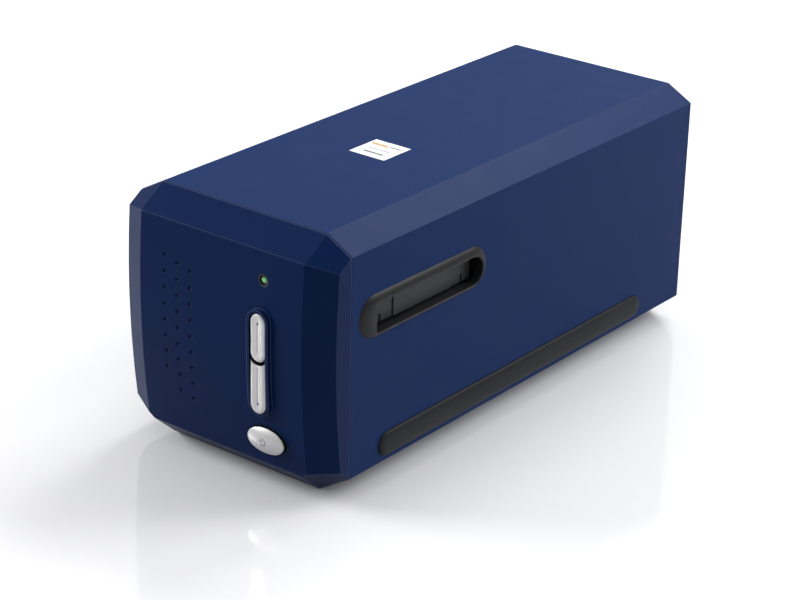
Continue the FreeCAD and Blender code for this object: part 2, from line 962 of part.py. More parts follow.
def power_outline(grow):
    """The power button's oval, grown by a gap."""
    return oval((s.power_middle, s.power_height), s.power_half_width + grow, s.power_half_height + grow,
                OVAL_SIDES)


# Sides of the power button's oval
OVAL_SIDES = 28


def board_post_places():
    """Places across and up of the two posts that carry the button board."""
    return [(s.button_board_left + s.board_post_margin, s.board_post_low),
            (s.button_board_right - s.board_post_margin, s.board_post_high)]


def make_front_cover():
    outside = common("cover_outside", bevelled_bulk("bevel_outside", 0, seam - s.seam_gap),
                     crowned_bulk("crown_outside", 0))
    inside = common("cover_inside", bevelled_bulk("bevel_inside", s.front_wall, seam + s.overrun),
                    crowned_bulk("crown_inside", s.front_wall))
    shell = cut("cover_shell", outside, inside)
    tongue = prism("cover_tongue", "XZ", seam - s.tongue_root, seam + s.tongue_reach,
                   casing_outline(s.wall + s.casing_slack),
                   casing_outline(s.wall + s.casing_slack + s.tongue_wall))
    collar_block = prism("collar_block", "XZ", crest - 2 * s.collar_height, front_inside,
                         button_slot_outline(-s.collar_width))
    collar = common("collar", collar_block, crowned_bulk("collar_crown", -s.collar_height))
    parts = [shell, tongue, collar]
    tools = []
    start = crest - s.front_depth
    for across, height in board_post_places():
        root = (across, front_inside - s.seam_gap, height)
        parts.append(bar("board_post", "y", root, button_board_front - root[1], s.board_post_radius))
        tools.append(bar("board_post_hole", "y", (across, button_board_rear - s.screw_length, height),
                         s.screw_length + s.overrun, screw_hole))
    tools.append(prism("button_opening", "XZ", start, front_inside + s.overrun, button_slot_outline(-s.button_gap)))
    tools.append(prism("power_opening", "XZ", start, front_inside + s.overrun, power_outline(s.button_gap)))
    tools.append(prism("light_opening", "XZ", start, crest + s.front_depth,
                       regular((s.light_middle, s.light_height), s.light_ring_radius + s.running_fit, LIGHT_SIDES)))
    for across, height in pit_places():
        face = crest + crown_depth(height)
        tools.append(pyramid("pit", "XZ", face - s.pit_depth, face + s.pit_depth, (across, height),
                             2 * s.pit_radius, PIT_SIDES))
    finish("front_cover", cut("cover", fuse("cover_solid", *parts), *tools))


def pit_places():
    """Middles of the pits, column by column from the top."""
    columns = ((s.pit_column_one, s.pit_top_one), (s.pit_column_two, s.pit_top_two),
               (s.pit_column_three, s.pit_top_three))
    return [(-across, top - row * s.pit_pitch)
            for (across, top), count in zip(columns, PIT_COUNTS) for row in range(count)]


def make_rear_panel():
    plate = prism("rear_plate", "XZ", rear_panel_front, rear_panel_back,
                  casing_outline(s.wall + s.casing_slack))
    usb_low = main_board_top - s.port_gap
    tools = [
        block("usb_window", (-s.usb_middle - s.usb_width / 2 - s.port_gap, rear_panel_front - s.overrun, usb_low),
              (-s.usb_middle + s.usb_width / 2 + s.port_gap, rear + s.overrun,
               main_board_top + s.usb_height + s.port_gap)),
        rod("jack_window", "y", (s.jack_middle, rear_panel_front - s.overrun, main_board_top + s.jack_axis_height),
            s.rear_panel_thickness + 2 * s.overrun, s.jack_width / 2),
    ]
    for side in (1, -1):
        tools.append(bar("rear_screw_hole", "y",
                         (side * s.rear_boss_side, rear_panel_front - s.overrun, rear_boss_height),
                         s.rear_panel_thickness + 2 * s.overrun, screw_hole))
    finish("rear_panel", cut("rear_panel_cut", plate, *tools))


# Film slots

def slot_outline(grow):
    """The slot's opening: square at the front end, round at the rear end."""
    radius = s.slot_height / 2 + grow
    middle = s.slot_bottom + s.slot_height / 2
    back = slot_rear - s.slot_height / 2
    return ((slot_front - grow, s.slot_bottom - grow), (back, middle), radius)


def slot_plug(name, low, high):
    """The slot's opening as a solid across the casing."""
    corner, centre, radius = slot_outline(0)
    square = block(name + "_square", (low, corner[0], corner[1]), (high, centre[0], slot_top))
    nose = bar(name + "_nose", "x", (low, centre[0], centre[1]), as_size(high) - low, radius, 2 * HALF_ROUND)
    return fuse(name, square, nose)


def make_bezels():
    outer_side = s.overall_width / 2
    flange = bezel_plug("bezel_flange", 0, casing_half, outer_side)
    soften(flange, s.bezel_bevel, lambda edge: edge.BoundBox.XMin > outer_side.number - s.casing_slack.number)
    neck = bezel_plug("bezel_neck", s.bezel_lip, casing_half - s.wall, casing_half)
    opening = slot_plug("bezel_opening", casing_half - s.overrun, outer_side + s.overrun)
    right = finish("slot_bezel_right", cut("bezel", fuse("bezel_solid", flange, neck), opening))
    finish("slot_bezel_left", mirrored("bezel_twin", right))


def make_doors():
    front = guide_front + s.door_side_gap
    back = guide_rear - s.door_rear_gap
    knuckle = s.door_pin_radius + s.running_fit + s.door_knuckle_wall
    inner = pin_side - s.door_thickness / 2
    outer = pin_side + s.door_thickness / 2
    bottom = guide_floor + s.door_floor_gap
    panel = block("door_panel", (inner, front, bottom), (outer, back, pin_height))
    rise = block("door_rise", (outer - s.seam_gap, front + s.door_rise_margin, bottom),
                 (outer + s.door_rise, guide_rear - s.door_rise_margin, pin_height - 2 * knuckle))
    barrel = bar("door_barrel", "y", (pin_side, front, pin_height), back - front, knuckle)
    tools = [rod("door_bore", "y", (pin_side, front - s.overrun, pin_height), back - front + 2 * s.overrun,
                 s.door_pin_radius + s.running_fit)]
    for along in (front + s.door_slit_margin, guide_rear - s.door_slit_margin):
        tools.append(block("door_slit", (inner - s.overrun, along - s.door_slit_width / 2, bottom - s.overrun),
                           (outer + s.overrun, along + s.door_slit_width / 2, bottom + s.door_slit_height)))
    spring_front = slot_middle - s.spring_coil_length / 2 - s.door_side_gap
    spring_back = slot_middle + s.spring_coil_length / 2 + s.door_side_gap
    tools.append(block("door_spring_room", (inner - s.overrun, spring_front, pin_height - 2 * knuckle),
                       (outer + s.overrun, spring_back, pin_height + s.overrun)))
    right = finish("dust_door_right", cut("door", fuse("door_solid", panel, rise, barrel), *tools))
    finish("dust_door_left", mirrored("door_twin", right))
    pin = rod("door_pin", "y", (pin_side, guide_front - s.guide_wall, pin_height),
              guide_rear - guide_front + 2 * s.guide_wall, s.door_pin_radius)
    finish("door_hinge_pin_right", pin)
    finish("door_hinge_pin_left", mirrored("pin_twin", pin))


# Thickness of a spring's leg as a share of its coil's wall
LEG_SHARE = 0.8


def make_door_springs():
    coil_inner = s.door_pin_radius + s.running_fit
    coil_outer = coil_inner + s.spring_wire
    coil = prism("spring_coil", "XZ", slot_middle - s.spring_coil_length / 2,
                 slot_middle + s.spring_coil_length / 2, regular((pin_side, pin_height), around(coil_outer), 8),
                 regular((pin_side, pin_height), around(coil_inner), 8))
    half_leg = s.spring_wire * LEG_SHARE / 2
    middle = coil_inner + s.spring_wire / 2
    near = slot_middle - s.spring_coil_length / 2 + s.spring_wire / 2
    far = slot_middle + s.spring_coil_length / 2 - s.spring_wire / 2
    door_leg = block("spring_door_leg", (pin_side - middle - half_leg, near - half_leg, pin_height - s.spring_leg),
                     (pin_side - middle + half_leg, near + half_leg, pin_height))
    frame_leg = block("spring_frame_leg",
                      (pin_side - s.spring_leg, far - half_leg, pin_height + middle - half_leg),
                      (pin_side, far + half_leg, pin_height + middle + half_leg))
    right = finish("door_spring_right", fuse("door_spring", coil, door_leg, frame_leg))
    finish("door_spring_left", mirrored("spring_twin", right))


def make_strips():
    outer_side = s.overall_width / 2
    strip = strip_prism("strip", casing_half - s.strip_recess, outer_side, 0)
    soften(strip, s.strip_bevel, lambda edge: edge.BoundBox.XMin > outer_side.number - s.casing_slack.number)
    finish("rubber_strip_right", strip)
    finish("rubber_strip_left", mirrored("strip_twin", strip))


def make_label():
    front = seam + s.label_setback
    finish("top_label", block("label", (-s.label_width / 2, front, casing_top - s.label_thickness),
                              (s.label_width / 2, front + s.label_length, casing_top)))


# Buttons, light and their board

def button_depths():
    """Places along Y of a scan button's face, flange front and flange back."""
    flange_front = crest + s.button_flange_setback
    return button_face, flange_front, flange_front + s.button_flange_thickness


def make_scan_buttons():
    face, flange_front, flange_back = button_depths()
    radius = s.button_half_width
    middle = s.button_middle
    split_centre = s.button_split + radius
    low_centre = s.button_low_end + radius
    high_centre = s.button_high_end - radius
    nest = radius + s.button_split_gap
    for name, low, high in (("scan_button_upper", split_centre, high_centre),
                            ("scan_button_lower", low_centre, split_centre)):
        upper = name == "scan_button_upper"
        head = prism(name + "_head", "XZ", face, flange_back,
                     round_ended((middle, low), (middle, high), radius))
        soften(head, s.button_edge_bevel, lambda edge: edge.BoundBox.YMax < face.number + s.seam_gap.number)
        flange_low, flange_high = (low + radius, high) if upper else (low, high - 2 * radius)
        flange = prism(name + "_flange", "XZ", flange_front, flange_back,
                       round_ended((middle, flange_low), (middle, flange_high), radius + s.button_flange))
        post = bar(name + "_post", "y", (middle, flange_back - s.seam_gap, switch_heights[name]),
                   stem_front - flange_back + s.seam_gap, s.button_post_radius)
        groove_low, groove_high = (low, high) if upper else (low, high - nest - radius / 2)
        groove = block(name + "_groove", (middle - s.groove_width / 2, face - s.overrun, groove_low),
                       (middle + s.groove_width / 2, face + s.groove_depth, groove_high))
        tools = [groove]
        if not upper:
            tools.append(bar(name + "_nest", "y", (middle, face - s.overrun, split_centre),
                             flange_back - face + 2 * s.overrun, nest, 2 * HALF_ROUND))
            tools.append(block(name + "_crop", (middle - nest - s.overrun, face - s.overrun,
                                                split_centre - radius / 2),
                               (middle + nest + s.overrun, flange_back + s.overrun, split_centre + 2 * nest)))
        finish(name, cut(name + "_cut", fuse(name + "_solid", head, flange, post), *tools))


# Height of the switch behind each button
switch_heights = {
    "scan_button_upper": (s.button_split + s.button_high_end) / 2,
    "scan_button_lower": (s.button_low_end + s.button_split) / 2,
    "power_button": s.power_height,
}
# Place across of the switch behind each button
switch_sides = {
    "scan_button_upper": s.button_middle,
    "scan_button_lower": s.button_middle,
    "power_button": s.power_middle,
}


def make_power_button():
    peak = crest - s.power_proud
    flange_front = stem_front - s.power_flange_thickness
    back = flange_front + s.seam_gap
    shank = prism("power_shank", "XZ", peak - s.seam_gap, back, power_outline(0))
    across, up = [], []
    for share, sink in DOME_SHARES:
        depth = peak + s.power_crown_depth * sink
        across.append((s.power_middle + s.power_half_width * share, depth))
        up.append((depth, s.power_height + s.power_half_height * share))
    reach = s.power_half_width + s.overrun
    wide = prism("power_crown_across", "XY", s.power_height - reach, s.power_height + reach,
                 polygon(across + [(across[-1][0], back), (across[0][0], back)]))
    tall = prism("power_crown_up", "YZ", s.power_middle - reach, s.power_middle + reach,
                 polygon(up + [(back, up[-1][1]), (back, up[0][1])]))
    head = common("power_head", common("power_barrel", shank, wide), tall)
    flange = prism("power_flange", "XZ", flange_front, stem_front, power_outline(s.button_flange))
    finish("power_button", fuse("power_solid", head, flange))


# Corners of the power button's dome: shares of its half size and of its depth
DOME_SHARES = ((-1.1, 1.21), (-0.72, 0.5), (-0.28, 0.0), (0.28, 0.0), (0.72, 0.5), (1.1, 1.21))


def make_switches():
    bodies = []
    for name, short in (("scan_button_upper", "upper"), ("scan_button_lower", "lower"), ("power_button", "power")):
        across, height = switch_sides[name], switch_heights[name]
        box = square_bar(short + "_switch_box", across, height, s.switch_half, switch_front, button_board_front)
        bore = square_bar(short + "_switch_bore", across, height, s.switch_stem_half + s.running_fit,
                          switch_front - s.overrun, switch_front + s.switch_bore_depth)
        bodies.append(cut(short + "_switch_body", box, bore))
        finish(short + "_switch_stem", square_bar(short + "_stem", across, height, s.switch_stem_half, stem_front,
                                                  switch_front + s.switch_stem_inside))
    finish("switch_bodies", group("switches", *bodies))


def square_bar(name, across, height, half, front, back):
    """A square bar that runs along Y."""
    return block(name, (across - half, front, height - half), (across + half, back, height + half))


def make_button_board():
    holes = [regular(place, screw_hole, 8) for place in board_post_places()]
    board = prism("button_board_plate", "XZ", button_board_front, button_board_rear,
                  rectangle(s.button_board_left, s.button_board_right, s.button_board_bottom, s.button_board_top),
                  *holes)
    finish("button_board", board)


def make_status_light():
    face = crest + crown_depth(s.light_height)
    centre = (s.light_middle, s.light_height)
    front = face - s.light_ring_proud
    finish("status_light_ring", prism("light_ring", "XZ", front, front + s.light_ring_length,
                                      regular(centre, s.light_ring_radius, LIGHT_SIDES),
                                      regular(centre, s.light_lens_radius, LIGHT_SIDES)))
    lens = s.light_lens_radius - s.running_fit
    nose = face + s.light_lens_setback
    flange = front + s.light_ring_length + s.running_fit
    back = nose + s.light_pipe_length
    pipe = prism("light_pipe", "XZ", nose, back, regular(centre, lens, LIGHT_SIDES))
    ledge = prism("light_ledge", "XZ", flange, flange + s.light_flange_thickness,
                  regular(centre, s.light_flange_radius, LIGHT_SIDES))
    finish("status_light_pipe", fuse("light_pipe_solid", pipe, ledge))
    led_front = back + s.led_gap
    finish("status_led", bar("led", "y", (s.light_middle, led_front, s.light_height),
                             button_board_front - led_front, s.led_radius))


# Frame inside

def make_chassis():
    parts = [block("chassis_floor", (-s.chassis_half_width, chassis_front, chassis_bottom),
                   (s.chassis_half_width, chassis_rear, chassis_top))]
    tools = []
    for across, height, radius in ((s.main_rod_side, s.main_rod_height, s.main_rod_radius),
                                   (-s.second_rod_side, s.second_rod_height, s.second_rod_radius)):
        for low, high in ((chassis_front, chassis_front + s.rod_post_thickness),
                          (chassis_rear - s.rod_post_thickness, chassis_rear)):
            parts.append(block("rod_post", (across - s.rod_post_half_width, low, chassis_top - s.seam_gap),
                               (across + s.rod_post_half_width, high, height + s.rod_post_cap)))
        tools.append(bar("rod_bore", "y", (across, chassis_front - s.overrun, height),
                         chassis_rear - chassis_front + 2 * s.overrun, around(radius + s.rod_fit)))
    for across, along in stand_places():
        parts.append(block("board_stand", (across - s.stand_half, along - s.stand_half, chassis_top - s.seam_gap),
                           (across + s.stand_half, along + s.stand_half, main_board_bottom)))
    for across, along in board_screw_places():
        tools.append(bar("stand_hole", "z", (across, along, main_board_top - s.screw_length),
                         s.screw_length + s.overrun, screw_hole))
    for across, along in base_boss_places():
        tools.append(bar("chassis_screw_hole", "z", (across, along, chassis_bottom - s.overrun),
                         s.chassis_thickness + 2 * s.overrun, screw_hole))
    for across, along in bracket_screw_places():
        tools.append(bar("bracket_screw_hole", "z", (across, along, chassis_bottom - s.overrun),
                         s.chassis_thickness + 2 * s.overrun, screw_hole))
    window = block("chassis_window",
                   (-s.guide_roof_half + s.leg_post, slot_front, chassis_bottom - s.overrun),
                   (s.guide_roof_half - s.leg_post, slot_rear, chassis_top + s.overrun))
    tools.append(window)
    finish("chassis", cut("chassis_cut", fuse("chassis_solid", *parts), *tools))


def stand_places():
    """Places of the stands under the main board."""
    left, right = -s.main_board_left + s.main_board_margin, s.main_board_right - s.main_board_margin
    front, back = s.main_board_front + s.main_board_margin, s.main_board_rear - s.main_board_margin
    return [(left, front), (right, front), (left, back), (right, back)]


def board_screw_places():
    """Places of the two stands that take the main board's screws."""
    stands = stand_places()
    return [stands[0], stands[-1]]


def bracket_screw_places():
    """Places of the screws through the feet of the two drive brackets."""
    across = -s.bracket_side - s.bracket_thickness - s.bracket_foot / 2
    reach = s.bracket_half_width * FOOT_SCREW_SHARE
    return [(across, s.drive_axle_y - reach), (across, s.drive_axle_y + reach), (across, s.idler_axle_y)]


# How far out along a bracket's foot its screws stand, as a share of half its length
FOOT_SCREW_SHARE = 0.75


def make_film_guide():
    end = casing_half - s.wall - s.guide_end_gap
    wall = s.guide_wall
    floor = block("guide_floor_plate", (-end, guide_front - wall, guide_floor - wall),
                  (end, guide_rear + wall, guide_floor))
    parts = [floor]
    tools = []
    for low, high in ((guide_front - wall, guide_front), (guide_rear, guide_rear + wall)):
        parts.append(block("guide_side", (-end, low, guide_floor - wall), (end, high, guide_roof + wall)))
        for side in (1, -1):
            near, far = (end - s.guide_ear_width, end) if side > 0 else (-end, -end + s.guide_ear_width)
            parts.append(block("guide_ear", (near, low, guide_floor), (far, high, pin_height + s.guide_ear_rise)))
    parts.append(block("guide_roof_plate", (-s.guide_roof_half, guide_front - wall, guide_roof),
                       (s.guide_roof_half, guide_rear + wall, guide_roof + wall)))
    window_front = scan_line - s.window_margin
    window_rear = scan_line + s.carriage_travel + s.window_margin
    tools.append(block("guide_window", (-s.window_half_width, window_front, guide_floor - wall - s.overrun),
                       (s.window_half_width, window_rear, guide_roof + wall + s.overrun)))
    for side in (1, -1):
        tools.append(bar("guide_pin_hole", "y", (side * pin_side, guide_front - wall - s.overrun, pin_height),
                         guide_rear - guide_front + 2 * wall + 2 * s.overrun, around(s.door_pin_radius + s.rod_fit)))
        near, far = s.leg_inset, s.leg_inset + s.leg_thickness
        low, high = (near, far) if side > 0 else (-far, -near)
        front = guide_front + s.leg_setback
        back = guide_rear - s.leg_setback
        parts.append(block("guide_leg", (low, front, chassis_top), (high, back, guide_floor - s.seam_gap)))
        tools.append(block("guide_leg_gap", (low - s.overrun / 2, front + s.leg_post, chassis_top + s.leg_beam),
                           (high + s.overrun / 2, back - s.leg_post, guide_floor - wall - s.leg_beam)))
    finish("film_guide", cut("guide_cut", fuse("guide_solid", *parts), *tools))


def make_guide_rods():
    start = chassis_front + s.rod_end_inset
    length = chassis_rear - chassis_front - 2 * s.rod_end_inset
    finish("main_guide_rod", rod("main_rod", "y", (s.main_rod_side, start, s.main_rod_height), length,
                                 s.main_rod_radius))
    finish("second_guide_rod", rod("second_rod", "y", (-s.second_rod_side, start, s.second_rod_height), length,
                                   s.second_rod_radius))


# Scanning carriage

def lug_spans():
    """Front and rear of the two lugs on the main rod."""
    front = tray_front + s.front_lug_setback
    back = tray_rear - s.rear_lug_margin
    return [(front, front + s.lug_length), (back - s.lug_length, back)]


def make_carriage():
    half, wall = s.carriage_half_width, s.carriage_wall
    profile = [(tray_front, s.tray_bottom), (tray_rear, s.tray_bottom), (tray_rear, tray_top),
               (spine_rear, tray_top), (spine_rear, arm_top), (tray_front, arm_top), (tray_front, s.arm_bottom),
               (spine_front, s.arm_bottom), (spine_front, tray_top), (tray_front, tray_top)]
    frame = prism("carriage_c", "YZ", -half, half, polygon(profile))
    inner = half - wall
    pocket(frame, "XZ", tray_inside_front, tray_rear - wall, rectangle(-inner, inner, tray_floor, tray_top - wall))
    pocket(frame, "XY", tray_top - 2 * wall, tray_top + wall,
           rectangle(-inner + wall, inner - wall, tray_inside_front, tray_inside_front + s.light_entry))
    pocket(frame, "XY", tray_top - 2 * wall, tray_top + wall,
           rectangle(-inner, inner, spine_rear + s.tray_open_front, tray_rear - wall))
    pocket(frame, "XY", s.arm_bottom - wall, arm_top - wall,
           rectangle(-inner, inner, tray_inside_front, spine_front - wall))
    pocket(frame, "XZ", spine_front + wall, spine_rear + s.overrun,
           rectangle(-inner + wall, inner - wall, tray_top + wall, arm_top - wall))
    parts = [frame]
    tools = []
    wedge = wedge_leg()
    parts.append(prism("mirror_seat", "YZ", -s.mirror_width / 2, s.mirror_width / 2,
                       polygon([(tray_inside_front - wall / 2, tray_floor - wall / 2),
                                (tray_inside_front + wedge, tray_floor - wall / 2),
                                (tray_inside_front + wedge, tray_floor),
                                (tray_inside_front, tray_floor + wedge),
                                (tray_inside_front - wall / 2, tray_floor + wedge)])))
    for low, high in lug_spans():
        parts.append(block("carriage_lug", (half - wall / 2, low, s.lug_bottom), (s.lug_outer, high, tray_floor)))
        tools.append(bar("carriage_lug_bore", "y", (s.main_rod_side, low - s.overrun, s.main_rod_height),
                         s.lug_length + 2 * s.overrun, s.bushing_radius + s.rod_fit))
    shoe_front = spine_rear + s.tray_open_front
    parts.append(block("carriage_shoe", (-s.second_rod_side - s.shoe_half_width, shoe_front,
                                         s.tray_bottom - s.shoe_drop),
                       (-s.second_rod_side + s.shoe_half_width, shoe_front + s.shoe_length,
                        s.tray_bottom + wall / 2)))
    rod_room = s.second_rod_radius + s.running_fit
    tools.append(block("carriage_shoe_slot", (-s.second_rod_side - rod_room, shoe_front - s.overrun,
                                              s.tray_bottom - s.shoe_drop - s.overrun),
                       (-s.second_rod_side + rod_room, shoe_front + s.shoe_length + s.overrun,
                        s.second_rod_height + rod_room)))
    flag_front = s.home_sensor_front + s.home_sensor_length / 2 - s.flag_length / 2
    parts.append(block("carriage_flag", (s.flag_side - s.flag_thickness / 2, flag_front,
                                         s.tray_bottom - s.flag_drop),
                       (s.flag_side + s.flag_thickness / 2, flag_front + s.flag_length,
                        s.tray_bottom + wall / 2)))
    tools.append(block("sensor_tab_slot", (-s.sensor_tab_half_width - s.seam_gap, sensor_board_front - s.casing_slack,
                                           s.tray_bottom - s.overrun),
                       (s.sensor_tab_half_width + s.seam_gap, sensor_board_front + s.board_thickness
                        + s.casing_slack, tray_floor + s.rod_fit)))
    finish("carriage_frame", cut("carriage_cut", fuse("carriage_solid", *parts), *tools))


sensor_board_front = tray_rear - s.sensor_board_margin


def diagonal(size):
    """A length along the 45 degree mirror, taken along Y or Z."""
    return as_size(size) / Size(math.sqrt(2), "sqrt(2)")


def wedge_leg():
    """Leg of the wedge that carries the mirror in the corner of the tray."""
    back_plane = scan_line + s.optic_height - 2 * diagonal(s.mirror_thickness)
    return back_plane - tray_inside_front - tray_floor


def make_mirror():
    glass = doc.addObject("Part::Box", "mirror_glass")
    bind(glass, "Length", s.mirror_width)
    bind(glass, "Width", s.mirror_length)
    bind(glass, "Height", s.mirror_thickness)
    along = diagonal(s.mirror_length / 2)
    deep = diagonal(s.mirror_thickness)
    place(glass, (-s.mirror_width / 2, scan_line - along - deep, s.optic_height + along - deep),
          Rotation(Vector(1, 0, 0), -45))
    finish("mirror", glass)


def make_bushings():
    sleeves = []
    for low, high in lug_spans():
        sleeve = bar("bushing", "y", (s.main_rod_side, low, s.main_rod_height), s.lug_length, s.bushing_radius)
        bore = rod("bushing_bore", "y", (s.main_rod_side, low - s.overrun, s.main_rod_height),
                   s.lug_length + 2 * s.overrun, s.main_rod_radius + s.running_fit)
        sleeves.append(cut("bushing_cut", sleeve, bore))
    finish("carriage_bushings", group("bushings", *sleeves))


def make_lamp():
    top = arm_top - s.carriage_wall
    low = s.arm_bottom
    box = block("lamp_box", (-s.lamp_half_width, scan_line - s.lamp_half_depth, low),
                (s.lamp_half_width, scan_line + s.lamp_half_depth, top))
    inner = s.lamp_half_width - s.lamp_end_wall
    throat = low + s.lamp_throat_rise
    trough = prism("lamp_trough", "YZ", -inner, inner,
                   polygon([(scan_line - s.lamp_mouth_half, low - s.overrun), (scan_line + s.lamp_mouth_half,
                                                                               low - s.overrun),
                            (scan_line + s.lamp_mouth_half, low), (scan_line + s.lamp_throat_half, throat),
                            (scan_line - s.lamp_throat_half, throat), (scan_line - s.lamp_mouth_half, low)]))
    finish("lamp_reflector", cut("lamp_reflector_cut", box, trough))
    board_half = s.lamp_throat_half - s.seam_gap
    board_low = throat - s.lamp_board_thickness
    parts = [block("lamp_strip", (-inner + s.seam_gap, scan_line - board_half, board_low),
                   (inner - s.seam_gap, scan_line + board_half, throat))]
    half_led = s.lamp_led_size / 2
    for number in range(LAMP_LEDS):
        across = (number - (LAMP_LEDS - 1) / 2) * s.lamp_led_pitch
        parts.append(block("lamp_led", (across - half_led, scan_line - half_led, board_low - s.lamp_led_height),
                           (across + half_led, scan_line + half_led, board_low + s.seam_gap)))
    finish("lamp_board", fuse("lamp_board_solid", *parts))
    finish("lamp_diffuser", block("lamp_plate", (-s.lamp_half_width, scan_line - s.lamp_half_depth,
                                                 low - s.diffuser_thickness),
                                  (s.lamp_half_width, scan_line + s.lamp_half_depth, low)))


def make_lens():
    middle = scan_line + s.lens_setback
    start = middle - s.lens_length / 2
    block_half = s.lens_block_length / 2
    saddle = block("lens_block", (-s.lens_block_half_width, middle - block_half, tray_floor),
                   (s.lens_block_half_width, middle + block_half, tray_floor + s.lens_block_height))
    bore = bar("lens_block_bore", "y", (0, middle - block_half - s.overrun, s.optic_height),
               s.lens_block_length + 2 * s.overrun, s.lens_radius + s.running_fit, 16)
    finish("lens_holder", cut("lens_holder_cut", saddle, bore))
    barrel = bar("lens_tube", "y", (0, start, s.optic_height), s.lens_length, s.lens_radius, 16)
    inside = bar("lens_tube_bore", "y", (0, start - s.overrun, s.optic_height), s.lens_length + 2 * s.overrun,
                 s.lens_bore, 16)
    finish("lens_barrel", cut("lens_barrel_cut", barrel, inside))
    glasses = []
    radius = s.lens_bore - s.running_fit
    for front in (start + s.lens_glass_inset, start + s.lens_length - s.lens_glass_inset - s.lens_glass_thickness):
        glasses.append(bar("lens_disc", "y", (0, front, s.optic_height), s.lens_glass_thickness, radius, 16))
    finish("lens_elements", group("lens_pair", *glasses))


def make_sensor():
    front = sensor_board_front
    outline = [(-s.sensor_tab_half_width, s.tray_bottom - s.sensor_tab_drop + s.carriage_wall),
               (s.sensor_tab_half_width, s.tray_bottom - s.sensor_tab_drop + s.carriage_wall),
               (s.sensor_tab_half_width, tray_floor), (s.sensor_board_half_width, tray_floor),
               (s.sensor_board_half_width, tray_top), (-s.sensor_board_half_width, tray_top),
               (-s.sensor_board_half_width, tray_floor), (-s.sensor_tab_half_width, tray_floor)]
    finish("sensor_board", prism("sensor_plate", "XZ", front, front + s.board_thickness, polygon(outline)))
    half = s.sensor_half_width
    chip = block("sensor_chip", (-half, front - s.sensor_depth, s.optic_height - s.sensor_height / 2),
                 (half, front, s.optic_height + s.sensor_height / 2))
    window = block("sensor_window", (-half + s.carriage_wall, front - s.sensor_depth - s.overrun,
                                     s.optic_height - s.sensor_window_height / 2),
                   (half - s.carriage_wall, front - s.sensor_depth + s.sensor_window_depth,
                    s.optic_height + s.sensor_window_height / 2))
    finish("line_sensor", cut("sensor_cut", chip, window))


# Drive

def gear_outline(teeth, turn):
    """The closed outline of a spur gear, each flank a straight line inside the involute."""
    module = s.gear_module.number
    pitch = module * teeth / 2
    base = pitch * math.cos(math.radians(PRESSURE_ANGLE))
    tip = pitch + TOOTH_SHARES["addendum"] * module
    root = pitch - TOOTH_SHARES["dedendum"] * module
    foot = max(base, root)

    def spread(radius):
        """Half the angle that a tooth fills at a radius."""
        angle = math.acos(min(base / radius, 1.0))
        flank = math.tan(angle) - angle
        whole = math.tan(math.radians(PRESSURE_ANGLE)) - math.radians(PRESSURE_ANGLE)
        thick = math.pi / 2 / teeth - TOOTH_SHARES["thinning"] * module / 2 / pitch
        return thick + whole - flank

    def spot(radius, angle):
        return Vector(radius * math.cos(angle), radius * math.sin(angle), 0)

    corners = []
    step = 2 * math.pi / teeth
    for tooth in range(teeth):
        middle = turn + tooth * step
        corners.append(spot(root, middle - spread(foot)))
        corners.append(spot(tip, middle - spread(tip)))
        corners.append(spot(tip, middle + spread(tip)))
        corners.append(spot(root, middle + spread(foot)))
    return Part.makePolygon(corners + corners[:1])


def gear(name, teeth, turn, start, width):
    """A toothed disc whose axis lies along X."""
    disc = doc.addObject("Part::Feature", name)
    disc.Shape = Part.Face(gear_outline(teeth, turn)).extrude(Vector(0, 0, width.number))
    place(disc, start, ALONG["x"])
    return disc


def make_reduction_gear():
    start = (-gear_outer_side, s.drive_axle_y, s.drive_height)
    bore = s.axle_radius + s.running_fit
    end = s.gear_width + 2 * s.pulley_flange_thickness + s.pulley_width
    teeth = gear("reduction_teeth", GEAR_TEETH, GEAR_TURN, start, s.gear_width)
    hub = rod("reduction_bore", "x", (-gear_outer_side - s.overrun, s.drive_axle_y, s.drive_height),
              end + 2 * s.overrun, bore)
    pulley = bar("drive_pulley", "x", start, end, s.pulley_radius, 16)
    flange = bar("drive_flange", "x", (start[0] + end - s.pulley_flange_thickness, start[1], start[2]),
                 s.pulley_flange_thickness, s.pulley_radius + s.pulley_flange, 16)
    finish("reduction_gear", cut("reduction_cut", fuse("reduction_solid", teeth, pulley, flange), hub))


# Turn of each gear that puts a tooth of the large one opposite a gap of the small one, in radians
GEAR_TURN = math.pi / GEAR_TEETH
PINION_TURN = 0.0


def make_motor():
    side = s.bracket_side + s.bracket_thickness
    centre = (-side - s.motor_length, s.drive_axle_y, motor_height)
    can = bar("motor_can", "x", centre, s.motor_length, s.motor_radius, 32)
    face = -side - s.motor_plate
    plate = prism("motor_plate_body", "YZ", face, face + s.motor_plate,
                  round_ended((s.drive_axle_y - s.motor_radius - s.motor_ear / 2, motor_height),
                              (s.drive_axle_y + s.motor_radius + s.motor_ear / 2, motor_height), s.motor_ear))
    bore = bar("motor_bore", "x", (-side - s.motor_shaft_inside - s.overrun / 2, s.drive_axle_y, motor_height),
               s.motor_shaft_inside + s.overrun * 2, around(s.motor_shaft_radius + s.running_fit))
    finish("stepper_motor", cut("motor_cut", fuse("motor_solid", can, plate), bore))


def make_pinion():
    start = (-gear_outer_side, s.drive_axle_y, motor_height)
    teeth = gear("pinion_teeth", PINION_TEETH, PINION_TURN, start, s.gear_width)
    inside = s.bracket_side + s.bracket_thickness + s.motor_shaft_inside
    shaft = rod("motor_shaft", "x", (-inside, s.drive_axle_y, motor_height), inside - gear_outer_side + s.gear_width,
                s.motor_shaft_radius)
    finish("motor_pinion", fuse("pinion_solid", teeth, shaft))


